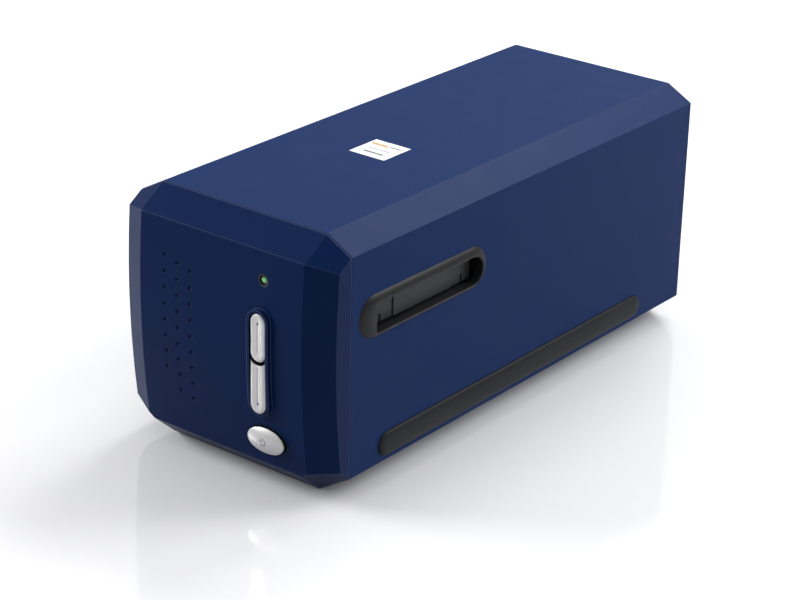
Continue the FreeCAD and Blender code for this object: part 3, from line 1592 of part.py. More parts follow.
def make_brackets():
    side, thick = s.bracket_side, s.bracket_thickness
    top = motor_height + s.bracket_top_margin
    far = side + thick + s.bracket_foot
    reach = s.bracket_half_width + s.motor_ear
    plate = block("bracket_plate", (-side - thick, s.drive_axle_y - reach, chassis_top),
                  (-side, s.drive_axle_y + reach, top))
    foot = block("bracket_foot_plate", (-far, s.drive_axle_y - s.bracket_half_width, chassis_top),
                 (-side, s.drive_axle_y + s.bracket_half_width, chassis_top + thick))
    tools = [
        bar("bracket_shaft_hole", "x", (-side - thick - s.overrun, s.drive_axle_y, motor_height),
            thick + 2 * s.overrun, s.motor_shaft_radius + s.casing_slack),
        bar("bracket_axle_hole", "x", (-side - thick - s.overrun, s.drive_axle_y, s.drive_height),
            thick + 2 * s.overrun, around(s.axle_radius + s.rod_fit)),
    ]
    for across, along in bracket_screw_places()[:2]:
        tools.append(bar("bracket_foot_hole", "z", (across, along, chassis_top - s.overrun),
                         thick + 2 * s.overrun, screw_hole))
    finish("motor_bracket", cut("bracket_cut", fuse("bracket_solid", plate, foot), *tools))
    axle_end = -s.carriage_half_width - s.axle_end_gap
    axle = rod("axle_bar", "x", (-side - thick, s.drive_axle_y, s.drive_height), axle_end + side + thick,
               s.axle_radius)
    clip = bar("axle_clip", "x", (axle_end - s.axle_clip_thickness, s.drive_axle_y, s.drive_height),
               s.axle_clip_thickness, s.axle_clip_radius)
    finish("gear_axle", fuse("axle_solid", axle, clip))
    half = s.idler_bracket_half_width
    idler_plate = block("idler_plate", (-side - thick, s.idler_axle_y - half, chassis_top),
                        (-side, s.idler_axle_y + half, s.drive_height + half))
    idler_foot = block("idler_foot", (-far, s.idler_axle_y - half, chassis_top),
                       (-side, s.idler_axle_y + half, chassis_top + thick))
    idler_axle = rod("idler_axle", "x", (-side - thick / 2, s.idler_axle_y, s.drive_height),
                     axle_end + side + thick / 2, s.axle_radius)
    idler_clip = bar("idler_clip", "x", (axle_end - s.axle_clip_thickness, s.idler_axle_y, s.drive_height),
                     s.axle_clip_thickness, s.axle_clip_radius)
    across, along = bracket_screw_places()[2]
    idler_hole = bar("idler_foot_hole", "z", (across, along, chassis_top - s.overrun), thick + 2 * s.overrun,
                     screw_hole)
    finish("idler_bracket", cut("idler_cut", fuse("idler_solid", idler_plate, idler_foot, idler_axle, idler_clip),
                                idler_hole))


def make_idler_pulley():
    start = (-pulley_outer_side, s.idler_axle_y, s.drive_height)
    bore = s.axle_radius + s.running_fit
    end = 2 * s.pulley_flange_thickness + s.pulley_width
    wheel = bar("idler_wheel_disc", "x", start, end, s.pulley_radius, 16)
    hub = rod("idler_bore", "x", (-pulley_outer_side - s.overrun, s.idler_axle_y, s.drive_height),
              end + 2 * s.overrun, bore)
    finish("idler_pulley", cut("idler_cut", wheel, hub))


def make_belt():
    inner = s.pulley_radius + s.belt_gap
    outer = inner + s.belt_thickness
    middle = (pulley_outer_side + pulley_inner_side) / 2
    drive, idler = (s.drive_axle_y, s.drive_height), (s.idler_axle_y, s.drive_height)
    finish("drive_belt", prism("belt", "YZ", -middle - s.belt_width / 2, -middle + s.belt_width / 2,
                               round_ended(idler, drive, outer), round_ended(idler, drive, inner)))


def make_belt_clamp():
    run_low = s.drive_height + s.pulley_radius + s.belt_gap
    run_high = run_low + s.belt_thickness
    near = -s.carriage_half_width
    plate_far = near - s.clamp_plate
    jaw_far = -pulley_outer_side + s.pulley_flange_thickness
    front = tray_front + s.clamp_setback
    back = front + s.clamp_length
    parts = [block("clamp_plate_block", (plate_far, front, run_low - s.clamp_gap - s.clamp_jaw),
                   (near, back, run_high + s.clamp_gap + s.clamp_jaw))]
    parts.append(block("clamp_upper_jaw", (jaw_far, front, run_high + s.clamp_gap),
                       (near, back, run_high + s.clamp_gap + s.clamp_jaw)))
    parts.append(block("clamp_lower_jaw", (jaw_far, front, run_low - s.clamp_gap - s.clamp_jaw),
                       (near, back, run_low - s.clamp_gap)))
    finish("belt_clamp", fuse("clamp_solid", *parts))


# Main board

def make_main_board():
    left, right = -s.main_board_left, s.main_board_right
    front, back = s.main_board_front, s.main_board_rear
    tail = back + s.main_board_tail
    outline = [(left, front), (right, front), (right, back), (s.main_board_tail_right, back),
               (s.main_board_tail_right, tail), (-s.main_board_tail_left, tail), (-s.main_board_tail_left, back),
               (left, back)]
    holes = [regular(place, screw_hole, 8) for place in board_screw_places()]
    finish("main_board", prism("main_plate", "XY", main_board_bottom, main_board_top, polygon(outline), *holes))


# Board parts as shares of the board's length and width: middle across, middle along, width, length
CHIP_SHARES = ((0.45, 0.72, 0.26, 0.19), (0.80, 0.55, 0.16, 0.11), (0.14, 0.50, 0.10, 0.15))
CAPACITOR_SHARES = ((0.86, 0.74), (0.72, 0.90))


def board_spot(across_share, along_share):
    """A place on the main board from shares of its width and length."""
    across = -s.main_board_left + (s.main_board_left + s.main_board_right) * across_share
    along = s.main_board_front + (s.main_board_rear - s.main_board_front) * along_share
    return across, along


def make_board_parts():
    width = s.main_board_left + s.main_board_right
    length = s.main_board_rear - s.main_board_front
    chips = []
    for across_share, along_share, width_share, length_share in CHIP_SHARES:
        across, along = board_spot(across_share, along_share)
        half_width, half_length = width * width_share / 2, length * length_share / 2
        chips.append(block("chip", (across - half_width, along - half_length, main_board_top),
                           (across + half_width, along + half_length, main_board_top + s.chip_height)))
    half = s.connector_half_width
    chips.append(block("board_connector", (-half, s.connector_rear - s.connector_depth, main_board_top),
                       (half, s.connector_rear, main_board_top + s.connector_height)))
    finish("board_chips", group("chips", *chips))
    cans = []
    for across_share, along_share in CAPACITOR_SHARES:
        across, along = board_spot(across_share, along_share)
        cans.append(bar("capacitor", "z", (across, along, main_board_top), s.capacitor_height,
                        s.capacitor_radius, 12))
    finish("board_capacitors", group("capacitors", *cans))


def make_usb_socket():
    back = rear_panel_back - s.rear_panel_thickness + s.usb_proud
    front = back - s.usb_length
    left, right = -s.usb_middle - s.usb_width / 2, -s.usb_middle + s.usb_width / 2
    low, high = main_board_top, main_board_top + s.usb_height
    shell = block("usb_box", (left, front, low), (right, back, high))
    cavity = block("usb_cavity", (left + s.usb_shell, back - s.usb_cavity_depth, low + s.usb_shell),
                   (right - s.usb_shell, back + s.overrun, high - s.usb_shell))
    tongue_low = (low + high) / 2 - s.usb_tongue_height / 2
    tongue = block("usb_tongue", (-s.usb_middle - s.usb_tongue_width / 2, back - s.usb_cavity_depth - s.usb_shell,
                                  tongue_low),
                   (-s.usb_middle + s.usb_tongue_width / 2, back - s.usb_shell, tongue_low + s.usb_tongue_height))
    finish("usb_socket", fuse("usb_solid", cut("usb_shell_cut", shell, cavity), tongue))


def make_power_jack():
    back = rear_panel_front - s.casing_slack
    centre = main_board_top + s.jack_axis_height
    box = block("jack_box", (s.jack_middle - s.jack_width / 2, back - s.jack_length, main_board_top),
                (s.jack_middle + s.jack_width / 2, back, main_board_top + s.jack_height))
    bore = regular((s.jack_middle, centre), s.jack_bore_radius, JACK_SIDES)
    ring = prism("jack_ring", "XZ", back - s.jack_bore_depth, back + s.overrun, bore,
                 regular((s.jack_middle, centre), s.jack_pin_radius, JACK_SIDES // 2))
    over = prism("jack_front", "XZ", back - s.casing_slack, back + s.overrun, bore)
    finish("power_jack", cut("jack_cut", box, ring, over))


# Sides of the power jack's bore
JACK_SIDES = 16


def make_home_sensor():
    across = s.flag_side
    front, back = s.home_sensor_front, s.home_sensor_front + s.home_sensor_length
    box = block("home_box", (across - s.home_sensor_width / 2, front, main_board_top),
                (across + s.home_sensor_width / 2, back, main_board_top + s.home_sensor_height))
    slot = block("home_slot", (across - s.home_sensor_slot / 2, front - s.overrun,
                               main_board_top + s.home_sensor_floor),
                 (across + s.home_sensor_slot / 2, back + s.overrun,
                  main_board_top + s.home_sensor_height + s.overrun))
    finish("home_sensor", cut("home_cut", box, slot))


# Sides that a full turn of the ribbon's bend would have
BEND_SIDES = 24


def make_ribbon():
    thick = s.ribbon_thickness
    low = main_board_top + s.ribbon_lift
    radius = s.ribbon_bend_radius
    bend_height = low + radius
    high = low + 2 * radius
    start = s.connector_rear - s.connector_depth
    end = sensor_board_front
    half = s.ribbon_width / 2
    lower = block("ribbon_lower", (-half, s.ribbon_bend_y, low - thick), (half, start, low))
    upper = block("ribbon_upper", (-half, s.ribbon_bend_y, high), (half, end, high + thick))
    centre = (s.ribbon_bend_y, bend_height)
    ring = prism("ribbon_ring", "YZ", -half, half, regular(centre, around(radius + thick, BEND_SIDES), BEND_SIDES),
                 regular(centre, around(radius, BEND_SIDES), BEND_SIDES))
    half_space = block("ribbon_half", (-s.ribbon_width, s.ribbon_bend_y - 2 * radius, low - radius),
                       (s.ribbon_width, s.ribbon_bend_y, high + radius))
    finish("ribbon_cable", fuse("ribbon_solid", lower, upper, common("ribbon_bend", ring, half_space)))


def make_screws():
    case = []
    for across, along in base_boss_places():
        case.append(screw("base_screw", "z", (across, along, base_screw_seat - s.screw_head_height), 1))
    for side in (1, -1):
        case.append(screw("rear_screw", "y", (side * s.rear_boss_side, rear_panel_back + s.screw_head_height,
                                              rear_boss_height), -1))
    finish("case_screws", group("case_screw_group", *case))
    inner = []
    for across, height in board_post_places():
        inner.append(screw("button_board_screw", "y", (across, button_board_rear + s.screw_head_height, height), -1))
    for across, along in board_screw_places():
        inner.append(screw("main_board_screw", "z", (across, along, main_board_top + s.screw_head_height), -1))
    for across, along in bracket_screw_places():
        inner.append(screw("bracket_screw", "z", (across, along, chassis_top + s.bracket_thickness
                                                  + s.screw_head_height), -1))
    finish("inner_screws", group("inner_screw_group", *inner))


MAKERS = (
    make_main_housing, make_bottom_cover, make_feet, make_front_cover, make_rear_panel, make_bezels, make_doors,
    make_door_springs, make_strips, make_label, make_scan_buttons, make_power_button, make_switches,
    make_button_board, make_status_light, make_chassis, make_film_guide, make_guide_rods, make_carriage,
    make_mirror, make_bushings, make_lamp, make_lens, make_sensor, make_reduction_gear, make_motor, make_pinion,
    make_brackets, make_idler_pulley, make_belt, make_belt_clamp, make_main_board, make_board_parts,
    make_usb_socket, make_power_jack, make_home_sensor, make_ribbon, make_screws,
)
for make in MAKERS:
    make()
doc.recompute()

for thing in doc.Objects:
    if "Invalid" in thing.State or "Error" in thing.State:
        raise RuntimeError("%s (%s) failed: %s" % (thing.Name, thing.Label, thing.State))
for name, thing in nodes.items():
    if thing.Shape.isNull() or not thing.Shape.isValid():
        raise RuntimeError("the shape of %s is not valid" % name)

os.makedirs("parts", exist_ok=True)
for name, thing in nodes.items():
    thing.Shape.exportStep("parts/%s.step" % name)
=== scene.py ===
import json
import math

import bmesh
import bpy
from mathutils import Matrix, Vector


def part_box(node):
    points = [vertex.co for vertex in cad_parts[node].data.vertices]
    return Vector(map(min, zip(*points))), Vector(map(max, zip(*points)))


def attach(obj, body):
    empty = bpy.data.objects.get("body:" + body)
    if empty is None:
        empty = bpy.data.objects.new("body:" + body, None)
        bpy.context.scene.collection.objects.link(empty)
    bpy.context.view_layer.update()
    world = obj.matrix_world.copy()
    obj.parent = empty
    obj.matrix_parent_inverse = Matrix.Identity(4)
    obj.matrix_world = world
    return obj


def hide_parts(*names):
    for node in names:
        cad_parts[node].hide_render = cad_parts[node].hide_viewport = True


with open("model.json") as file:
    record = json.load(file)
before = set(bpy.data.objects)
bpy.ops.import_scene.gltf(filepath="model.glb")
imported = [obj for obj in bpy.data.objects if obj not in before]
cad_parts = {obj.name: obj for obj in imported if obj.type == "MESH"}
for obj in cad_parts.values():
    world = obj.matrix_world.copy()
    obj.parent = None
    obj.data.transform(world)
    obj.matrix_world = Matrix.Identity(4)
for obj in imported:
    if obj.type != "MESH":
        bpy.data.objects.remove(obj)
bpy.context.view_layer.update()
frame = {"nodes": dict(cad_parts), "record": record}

# One millimetre of the CAD model, in metres
MM = 0.001


# Colours

def channel(value):
    """A colour channel from 0 to 255 as light, by the sRGB curve."""
    share = value / 255
    return share / 12.92 if share <= 0.04045 else ((share + 0.055) / 1.055) ** 2.4


def colour(red, green, blue):
    """A screen colour, with channels from 0 to 255, for a node."""
    return (channel(red), channel(green), channel(blue), 1.0)


def shade(rgb, amount):
    """A colour made lighter or darker by a share."""
    return tuple(max(0.0, min(1.0, part * (1 + amount))) for part in rgb[:3]) + (1.0,)


# Node trees

class Nodes:
    """A node tree, built step by step."""

    def __init__(self, tree):
        self.tree = tree
        self.place = tree.nodes.new("ShaderNodeTexCoord")

    def node(self, kind, **values):
        """A new node with some of its settings."""
        made = self.tree.nodes.new(kind)
        for key, value in values.items():
            setattr(made, key, value)
        return made

    def join(self, source, target):
        """A link from an output to an input."""
        self.tree.links.new(source, target)

    def combine(self, operation, first, second):
        """Two values, either of which may be a plain number, put through a sum."""
        made = self.node("ShaderNodeMath", operation=operation)
        for spot, source in enumerate((first, second)):
            if isinstance(source, float):
                made.inputs[spot].default_value = source
            else:
                self.join(source, made.inputs[spot])
        return made.outputs["Value"]


# Share of lighter colour at the middle of a sharp edge: a painted highlight
EDGE_HIGHLIGHT_SHARE = 0.22
# How alike the softened and the true direction are where the painted highlight is full and where it ends
HIGHLIGHT_FULL_AT = 0.90
HIGHLIGHT_NONE_AT = 0.995
EDGE_SAMPLES = 6


class Shader(Nodes):
    """A material's node tree."""

    def __init__(self, name):
        self.material = bpy.data.materials.new(name)
        self.material.use_nodes = True
        super().__init__(self.material.node_tree)
        self.surface = self.tree.nodes["Principled BSDF"]

    def noise(self, scale, detail=3.0, stretch=None):
        """Cloudy values from 0 to 1 in object space; scale is per metre, stretch a factor for each axis."""
        place = self.place.outputs["Object"]
        if stretch:
            mapping = self.node("ShaderNodeMapping")
            mapping.inputs["Scale"].default_value = stretch
            self.join(place, mapping.inputs["Vector"])
            place = mapping.outputs["Vector"]
        made = self.node("ShaderNodeTexNoise")
        made.inputs["Scale"].default_value = scale
        made.inputs["Detail"].default_value = detail
        self.join(place, made.inputs["Vector"])
        return made.outputs["Fac"]

    def between(self, value, low, high, start=0.3, end=0.7):
        """A value from start to end mapped to the range from low to high."""
        made = self.node("ShaderNodeMapRange")
        made.inputs["From Min"].default_value = start
        made.inputs["From Max"].default_value = end
        made.inputs["To Min"].default_value = low
        made.inputs["To Max"].default_value = high
        self.join(value, made.inputs["Value"])
        return made.outputs["Result"]

    def blend(self, value, first, second, start=0.35, end=0.65):
        """A value from start to end turned into a colour between two."""
        made = self.node("ShaderNodeValToRGB")
        made.color_ramp.elements[0].position = start
        made.color_ramp.elements[1].position = end
        made.color_ramp.elements[0].color = first
        made.color_ramp.elements[1].color = second
        self.join(value, made.inputs["Fac"])
        return made.outputs["Color"]

    def inside(self, lows, highs):
        """1 within a box given by its corners, in object space, and 0 outside."""
        split = self.node("ShaderNodeSeparateXYZ")
        self.join(self.place.outputs["Object"], split.inputs["Vector"])
        total = None
        for axis, low, high in zip("XYZ", lows, highs):
            for operation, level in (("GREATER_THAN", low), ("LESS_THAN", high)):
                test = self.combine(operation, split.outputs[axis], level)
                total = test if total is None else self.combine("MULTIPLY", total, test)
        return total

    def over(self, base, mask, rgb):
        """A colour laid over another where a mask is 1."""
        made = self.node("ShaderNodeMix", data_type="RGBA")
        self.join(mask, made.inputs["Factor"])
        self.join(base, made.inputs["A"])
        made.inputs["B"].default_value = rgb
        return made.outputs["Result"]

    def rounded(self, radius):
        """The surface's direction with its sharp edges softened, and how much painted highlight each edge
        gets.
        """
        made = self.node("ShaderNodeBevel", samples=EDGE_SAMPLES)
        made.inputs["Radius"].default_value = radius
        true = self.node("ShaderNodeNewGeometry")
        likeness = self.node("ShaderNodeVectorMath", operation="DOT_PRODUCT")
        self.join(made.outputs["Normal"], likeness.inputs[0])
        self.join(true.outputs["True Normal"], likeness.inputs[1])
        edge_highlight = self.between(likeness.outputs["Value"], EDGE_HIGHLIGHT_SHARE, 0.0, start=HIGHLIGHT_FULL_AT, end=HIGHLIGHT_NONE_AT)
        return made.outputs["Normal"], edge_highlight

    def feed(self, name, source):
        """A value or colour led to one of the surface's own inputs."""
        self.join(source, self.surface.inputs[name])

    def bump(self, height, depth, strength, direction=None):
        """Fine relief from a value, its depth in metres, over the softened direction if there is one."""
        made = self.node("ShaderNodeBump")
        made.inputs["Strength"].default_value = strength
        made.inputs["Distance"].default_value = depth
        self.join(height, made.inputs["Height"])
        if direction is not None:
            self.join(direction, made.inputs["Normal"])
        self.feed("Normal", made.outputs["Normal"])

    def set(self, **values):
        """Constant values for the surface's own inputs."""
        for key, value in values.items():
            self.surface.inputs[key.replace("_", " ")].default_value = value


# Materials

# Light blue painted along sharp edges as a highlight
EDGE_HIGHLIGHT_BLUE = colour(128, 148, 186)
# Dark blue painted into the pits as shade
PIT_SHADE = colour(2, 6, 18)
# How much stronger the painted shade in a pit is than the painted highlight along an edge
PIT_SHADE_OVER_HIGHLIGHT = 3.6
# Corners, in metres, of the room that the pits of the front cover take
PIT_BOX = ((-0.0328, -0.14, 0.02), (-0.0142, -0.12, 0.1))


def moulded(name, rgb, rough, grain=1400.0, depth=0.03 * MM, variation=0.05, specular=0.5,
            rough_spread=0.06, edge=None, pits=None):
    """Moulded plastic or paint: faint clouding, fine grain and slightly uneven gloss.

    A radius for edge, in metres, softens the sharp edges and paints a light highlight along them. In the box
    given for pits, the same edge mask paints dark shade into the pits instead."""
    made = Shader(name)
    clouds = made.noise(scale=26.0, detail=4.0)
    paint = made.blend(clouds, shade(rgb, -variation), shade(rgb, variation))
    direction = None
    if edge:
        direction, edge_highlight = made.rounded(edge)
        if pits:
            # Painted shade: the pits darkened as if shade fell in them, and kept free of the painted edge
            # highlight
            within = made.inside(*pits)
            dark = made.combine("MULTIPLY", made.combine("MULTIPLY", edge_highlight, within), PIT_SHADE_OVER_HIGHLIGHT)
            paint = made.over(paint, dark, PIT_SHADE)
            edge_highlight = made.combine("MULTIPLY", edge_highlight, made.combine("SUBTRACT", 1.0, within))
        # Painted highlight: sharp edges made lighter, as if they caught the light
        paint = made.over(paint, edge_highlight, EDGE_HIGHLIGHT_BLUE)
    made.feed("Base Color", paint)
    made.feed("Roughness", made.between(made.noise(scale=60.0), rough - rough_spread, rough + rough_spread))
    made.bump(made.noise(scale=grain, detail=2.0), depth=depth, strength=0.25, direction=direction)
    made.set(Specular_IOR_Level=specular)
    return made.material


def metal(name, rgb, rough, stretch=(1.0, 12.0, 12.0), depth=0.01 * MM):
    """Drawn or rolled metal with fine lines along one axis."""
    made = Shader(name)
    lines = made.noise(scale=900.0, stretch=stretch)
    made.feed("Base Color", made.blend(lines, shade(rgb, -0.12), shade(rgb, 0.06)))
    made.feed("Roughness", made.between(lines, rough - 0.06, rough + 0.1))
    made.bump(lines, depth=depth, strength=0.3)
    made.set(Metallic=1.0)
    return made.material


def rubber(name, rgb, rough):
    """Rubber with a fine stipple and a little dust in its hollows."""
    made = Shader(name)
    stipple = made.noise(scale=2600.0, detail=2.0)
    dust = made.noise(scale=90.0, detail=5.0)
    made.feed("Base Color", made.blend(dust, rgb, shade(rgb, 0.3)))
    made.feed("Roughness", made.between(stipple, rough - 0.05, rough + 0.08))
    made.bump(stipple, depth=0.05 * MM, strength=0.35)
    made.set(Specular_IOR_Level=0.15)
    return made.material


def silver_paint(name, rgb, rough):
    """Satin silver paint with fine flakes that catch the light."""
    made = Shader(name)
    flakes = made.node("ShaderNodeTexVoronoi")
    flakes.inputs["Scale"].default_value = 5200.0
    made.join(made.place.outputs["Object"], flakes.inputs["Vector"])
    glitter = made.blend(flakes.outputs["Distance"], shade(rgb, 0.05), shade(rgb, -0.05), start=0.1, end=0.7)
    made.feed("Base Color", glitter)
    made.feed("Roughness", made.between(made.noise(scale=90.0), rough - 0.05, rough + 0.05))
    made.bump(made.noise(scale=1800.0, detail=2.0), depth=0.02 * MM, strength=0.2)
    made.set(Metallic=0.35, Specular_IOR_Level=0.5)
    return made.material


def board(name, rgb):
    """A circuit board with tracks that show through its lacquer."""
    made = Shader(name)
    bricks = made.node("ShaderNodeTexBrick")
    bricks.inputs["Scale"].default_value = 160.0
    bricks.inputs["Mortar Size"].default_value = 0.06
    bricks.inputs["Mortar Smooth"].default_value = 0.2
    bricks.inputs["Color1"].default_value = rgb
    bricks.inputs["Color2"].default_value = shade(rgb, 0.12)
    bricks.inputs["Mortar"].default_value = shade(rgb, 0.7)
    made.join(made.place.outputs["Object"], bricks.inputs["Vector"])
    made.feed("Base Color", bricks.outputs["Color"])
    made.feed("Roughness", made.between(made.noise(scale=300.0), 0.3, 0.42))
    made.bump(bricks.outputs["Fac"], depth=0.02 * MM, strength=0.3)
    return made.material


def clear(name, rgb):
    """Clear or tinted glass with a trace of smear."""
    made = Shader(name)
    smear = made.noise(scale=120.0, detail=4.0)
    made.feed("Base Color", made.blend(smear, shade(rgb, -0.04), rgb))
    made.feed("Roughness", made.between(smear, 0.03, 0.08))
    made.set(Transmission_Weight=1.0, IOR=1.5)
    return made.material


# How far the painted glint at the middle of the status light lies aside of its centre and above it
GLINT_ASIDE = 0.3 * MM
GLINT_ABOVE = 0.2 * MM
# Distances from there at which the painted glint starts to fade into the lens's dark green and is gone
GLINT_NEAR = 0.2 * MM
GLINT_FAR = 1.7 * MM


def green_lens(name):
    """The status light's moulded dark green lens, with a bright green painted glint at its middle."""
    made = Shader(name)
    low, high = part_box("status_light_pipe")
    distance = made.node("ShaderNodeVectorMath", operation="DISTANCE")
    made.join(made.place.outputs["Object"], distance.inputs[0])
    middle = (low + high) / 2
    distance.inputs[1].default_value = (middle.x + GLINT_ASIDE, low.y, middle.z + GLINT_ABOVE)
    outwards = made.between(distance.outputs["Value"], 0.0, 1.0, start=GLINT_NEAR, end=GLINT_FAR)
    # Painted glint: bright green at the middle, fading out to the lens's own dark green
    made.feed("Base Color", made.blend(outwards, colour(96, 226, 100), colour(3, 30, 9), start=0.1, end=0.85))
    made.bump(made.noise(scale=1500.0), depth=0.01 * MM, strength=0.2)
    made.set(Roughness=0.12, Coat_Weight=0.6, Coat_Roughness=0.05)
    return made.material


# Left, right, front and rear of each plain printed bar as shares of the label, and its colour
LABEL_BARS = (
    (0.07, 0.54, 0.71, 0.81, colour(232, 150, 90)),
    (0.58, 0.90, 0.75, 0.81, colour(120, 124, 130)),
    (0.20, 0.79, 0.46, 0.50, colour(130, 134, 140)),
    (0.22, 0.78, 0.21, 0.29, colour(104, 108, 114)),
)


def label_paper(name):
    """White label stock with plain printed bars."""
    made = Shader(name)
    fibre = made.noise(scale=700.0, detail=5.0)
    low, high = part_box("top_label")
    inked = made.blend(fibre, colour(232, 232, 234), colour(243, 243, 244))
    for left, right, near, far, ink in LABEL_BARS:
        across = [low.x + (high.x - low.x) * share for share in (left, right)]
        along = [low.y + (high.y - low.y) * share for share in (near, far)]
        mask = made.inside((across[0], along[0], low.z - MM), (across[1], along[1], high.z + MM))
        inked = made.over(inked, mask, ink)
    made.feed("Base Color", inked)
    made.feed("Roughness", made.between(fibre, 0.36, 0.46))
    made.bump(fibre, depth=0.01 * MM, strength=0.15)
    return made.material


MATERIALS = {
    # Both blues get painted highlights along their sharp edges; the front blue also gets painted shade in its
    # pits
    "front_blue": moulded("front_blue", colour(9, 32, 74), 0.38, variation=0.01, specular=0.05,
                          rough_spread=0.02, edge=0.7 * MM, pits=PIT_BOX),
    "casing_blue": moulded("casing_blue", colour(11, 39, 86), 0.42, variation=0.01, specular=0.055,
                           rough_spread=0.02, edge=0.5 * MM),
    "bezel_grey": moulded("bezel_grey", colour(25, 26, 28), 0.4, grain=2200.0, depth=0.04 * MM,
                          specular=0.16),
    "door_grey": moulded("door_grey", colour(44, 46, 49), 0.5, grain=2200.0, depth=0.04 * MM,
                         specular=0.3),
    "strip_grey": rubber("strip_grey", colour(22, 24, 28), 0.5),
    "foot_rubber": rubber("foot_rubber", colour(34, 34, 36), 0.7),
    "label_white": label_paper("label_white"),
    "button_silver": silver_paint("button_silver", colour(208, 208, 209), 0.36),
    "light_green": green_lens("light_green"),
    "black_plastic": moulded("black_plastic", colour(20, 20, 22), 0.4, grain=1800.0),
    "black_metal": moulded("black_metal", colour(16, 16, 17), 0.35, grain=2600.0),
    "board_green": board("board_green", colour(18, 82, 44)),
    "chassis_grey": moulded("chassis_grey", colour(92, 94, 98), 0.5),
    "carriage_black": moulded("carriage_black", colour(26, 26, 28), 0.5),
    "bushing_brass": metal("bushing_brass", colour(201, 158, 84), 0.3),
    "lamp_white": moulded("lamp_white", colour(228, 228, 222), 0.45),
    "mirror": metal("mirror", colour(228, 230, 232), 0.1, stretch=(1.0, 1.0, 1.0), depth=0.001 * MM),
    "lens_glass": clear("lens_glass", colour(226, 236, 240)),
    "belt_rubber": rubber("belt_rubber", colour(30, 30, 31), 0.65),
    "motor_metal": metal("motor_metal", colour(168, 170, 172), 0.35),
    "bracket_steel": metal("bracket_steel", colour(186, 188, 190), 0.35),
    "gear_white": moulded("gear_white", colour(226, 224, 214), 0.4),
    "steel": metal("steel", colour(196, 198, 200), 0.22),
    "spring_steel": metal("spring_steel", colour(150, 152, 156), 0.3),
    "capacitor_metal": metal("capacitor_metal", colour(176, 178, 182), 0.3),
    "socket_metal": metal("socket_metal", colour(204, 206, 208), 0.25),
    "ribbon_white": moulded("ribbon_white", colour(214, 214, 208), 0.4, grain=900.0),
}


def paint_nodes():
    """Gives each CAD node the material of its slot in the record."""
    for entry in frame["record"]["subparts"]:
        mesh = frame["nodes"][entry["node"]].data
        mesh.materials.clear()
        mesh.materials.append(MATERIALS[entry["material_slot"]])


# Mesh pieces: all sizes and places from here on to the camera are in millimetres

def piece(name, slot, body, *stands_for):
    """An empty mesh piece that rides on a body, and a bmesh for its shape."""
    mesh = bpy.data.meshes.new(name)
    thing = bpy.data.objects.new(name, mesh)
    bpy.context.scene.collection.objects.link(thing)
    mesh.materials.append(MATERIALS[slot])
    if stands_for:
        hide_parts(*stands_for)
    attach(thing, body)
    return thing, bmesh.new()


# Points closer together than this are one
WELD = 0.002


def settle(thing, shape, angle=40.0):
    """Writes the bmesh into its piece, smooth but for edges sharper than an angle."""
    bmesh.ops.remove_doubles(shape, verts=shape.verts, dist=WELD * MM)
    bmesh.ops.recalc_face_normals(shape, faces=shape.faces)
    limit = math.radians(angle)
    for face in shape.faces:
        face.smooth = True
    for edge in shape.edges:
        if len(edge.link_faces) == 2 and edge.calc_face_angle(0.0) > limit:
            edge.smooth = False
    shape.to_mesh(thing.data)
    shape.free()


def skin(shape, rows, close_start=False, close_end=True, loop=True):
    """Joins rows of points with faces, and caps the first and last on request."""
    made = [[shape.verts.new(Vector(point) * MM) for point in row] for row in rows]
    count = len(made[0])
    for first, second in zip(made, made[1:]):
        for step in range(count if loop else count - 1):
            after = (step + 1) % count
            shape.faces.new((first[step], first[after], second[after], second[step]))
    if close_start:
        shape.faces.new(made[0])
    if close_end:
        shape.faces.new(made[-1])


def angles(start, sweep, steps):
    """Angles in even steps over a sweep, with both of its ends."""
    return [start + sweep * step / steps for step in range(steps + 1)]


def circle(count):
    """Angles in even steps once round."""
    return angles(0.0, 2 * math.pi, count)[:-1]


def ring(middle, height, radius, y, count=48):
    """Points of a circle that faces the front."""
    return [(middle + math.cos(turn) * radius, y, height + math.sin(turn) * radius) for turn in circle(count)]


def oval(first, second, radius, steps=14):
    """A round-ended outline: for each point the nearest place on its centre line, and the way out to it."""
    (u0, v0), (u1, v1) = first, second
    lead = math.atan2(v1 - v0, u1 - u0)
    rows = []
    for end, start in (((u1, v1), lead - math.pi / 2), ((u0, v0), lead + math.pi / 2)):
        for turn in angles(start, math.pi, steps):
            rows.append((end, (math.cos(turn) * radius, math.sin(turn) * radius)))
    return rows


def drawn_in(outline, keep=1.0):
    """The points of an outline drawn in towards its centre line to a share of its width."""
    return [(u + du * keep, v + dv * keep) for (u, v), (du, dv) in outline]


def in_mm(node):
    """A node's lowest and highest corner."""
    low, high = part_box(node)
    return low / MM, high / MM


def centre(node):
    """Where a node's centre lies across and up, and where its front lies along the casing."""
    low, high = in_mm(node)
    return (low.x + high.x) / 2, (low.z + high.z) / 2, low.y


def paint_skirt_shade(shape, edge):
    """Gives a button's sides behind its silver-painted edge the second, dark material, as painted shade in
    the gap round the button.
    """
    for side in shape.faces:
        if min(corner.co.y for corner in side.verts) > (edge - 0.001) * MM and abs(side.normal.y) < 0.5:
            side.material_index = 1


# Scan buttons

BUTTON_RADIUS = 4.05
# Top of the upper button, its bottom, and the bottom of the lower button
BUTTON_TOP = 82.6
UPPER_BOTTOM = 60.7
BUTTON_BOTTOM = 37.0
BUTTON_SPLIT_GAP = 1.5
# How far under the gap's lowest point the lower button's centre line ends
NEST_DROP = 1.4
NEST_STEPS = 14
# Inset from the rim and depth behind the face of each ring of a scan button, to the end of its groove
BUTTON_PROFILE = ((0.0, 3.6), (0.0, 0.7), (0.1, 0.5), (0.35, 0.3), (0.7, 0.12), (1.0, 0.03), (1.3, 0.0),
                  (1.75, 0.03), (2.4, 0.11), (3.2, 0.17), (3.7, 0.2), (3.86, 0.32), (3.9, 0.5))
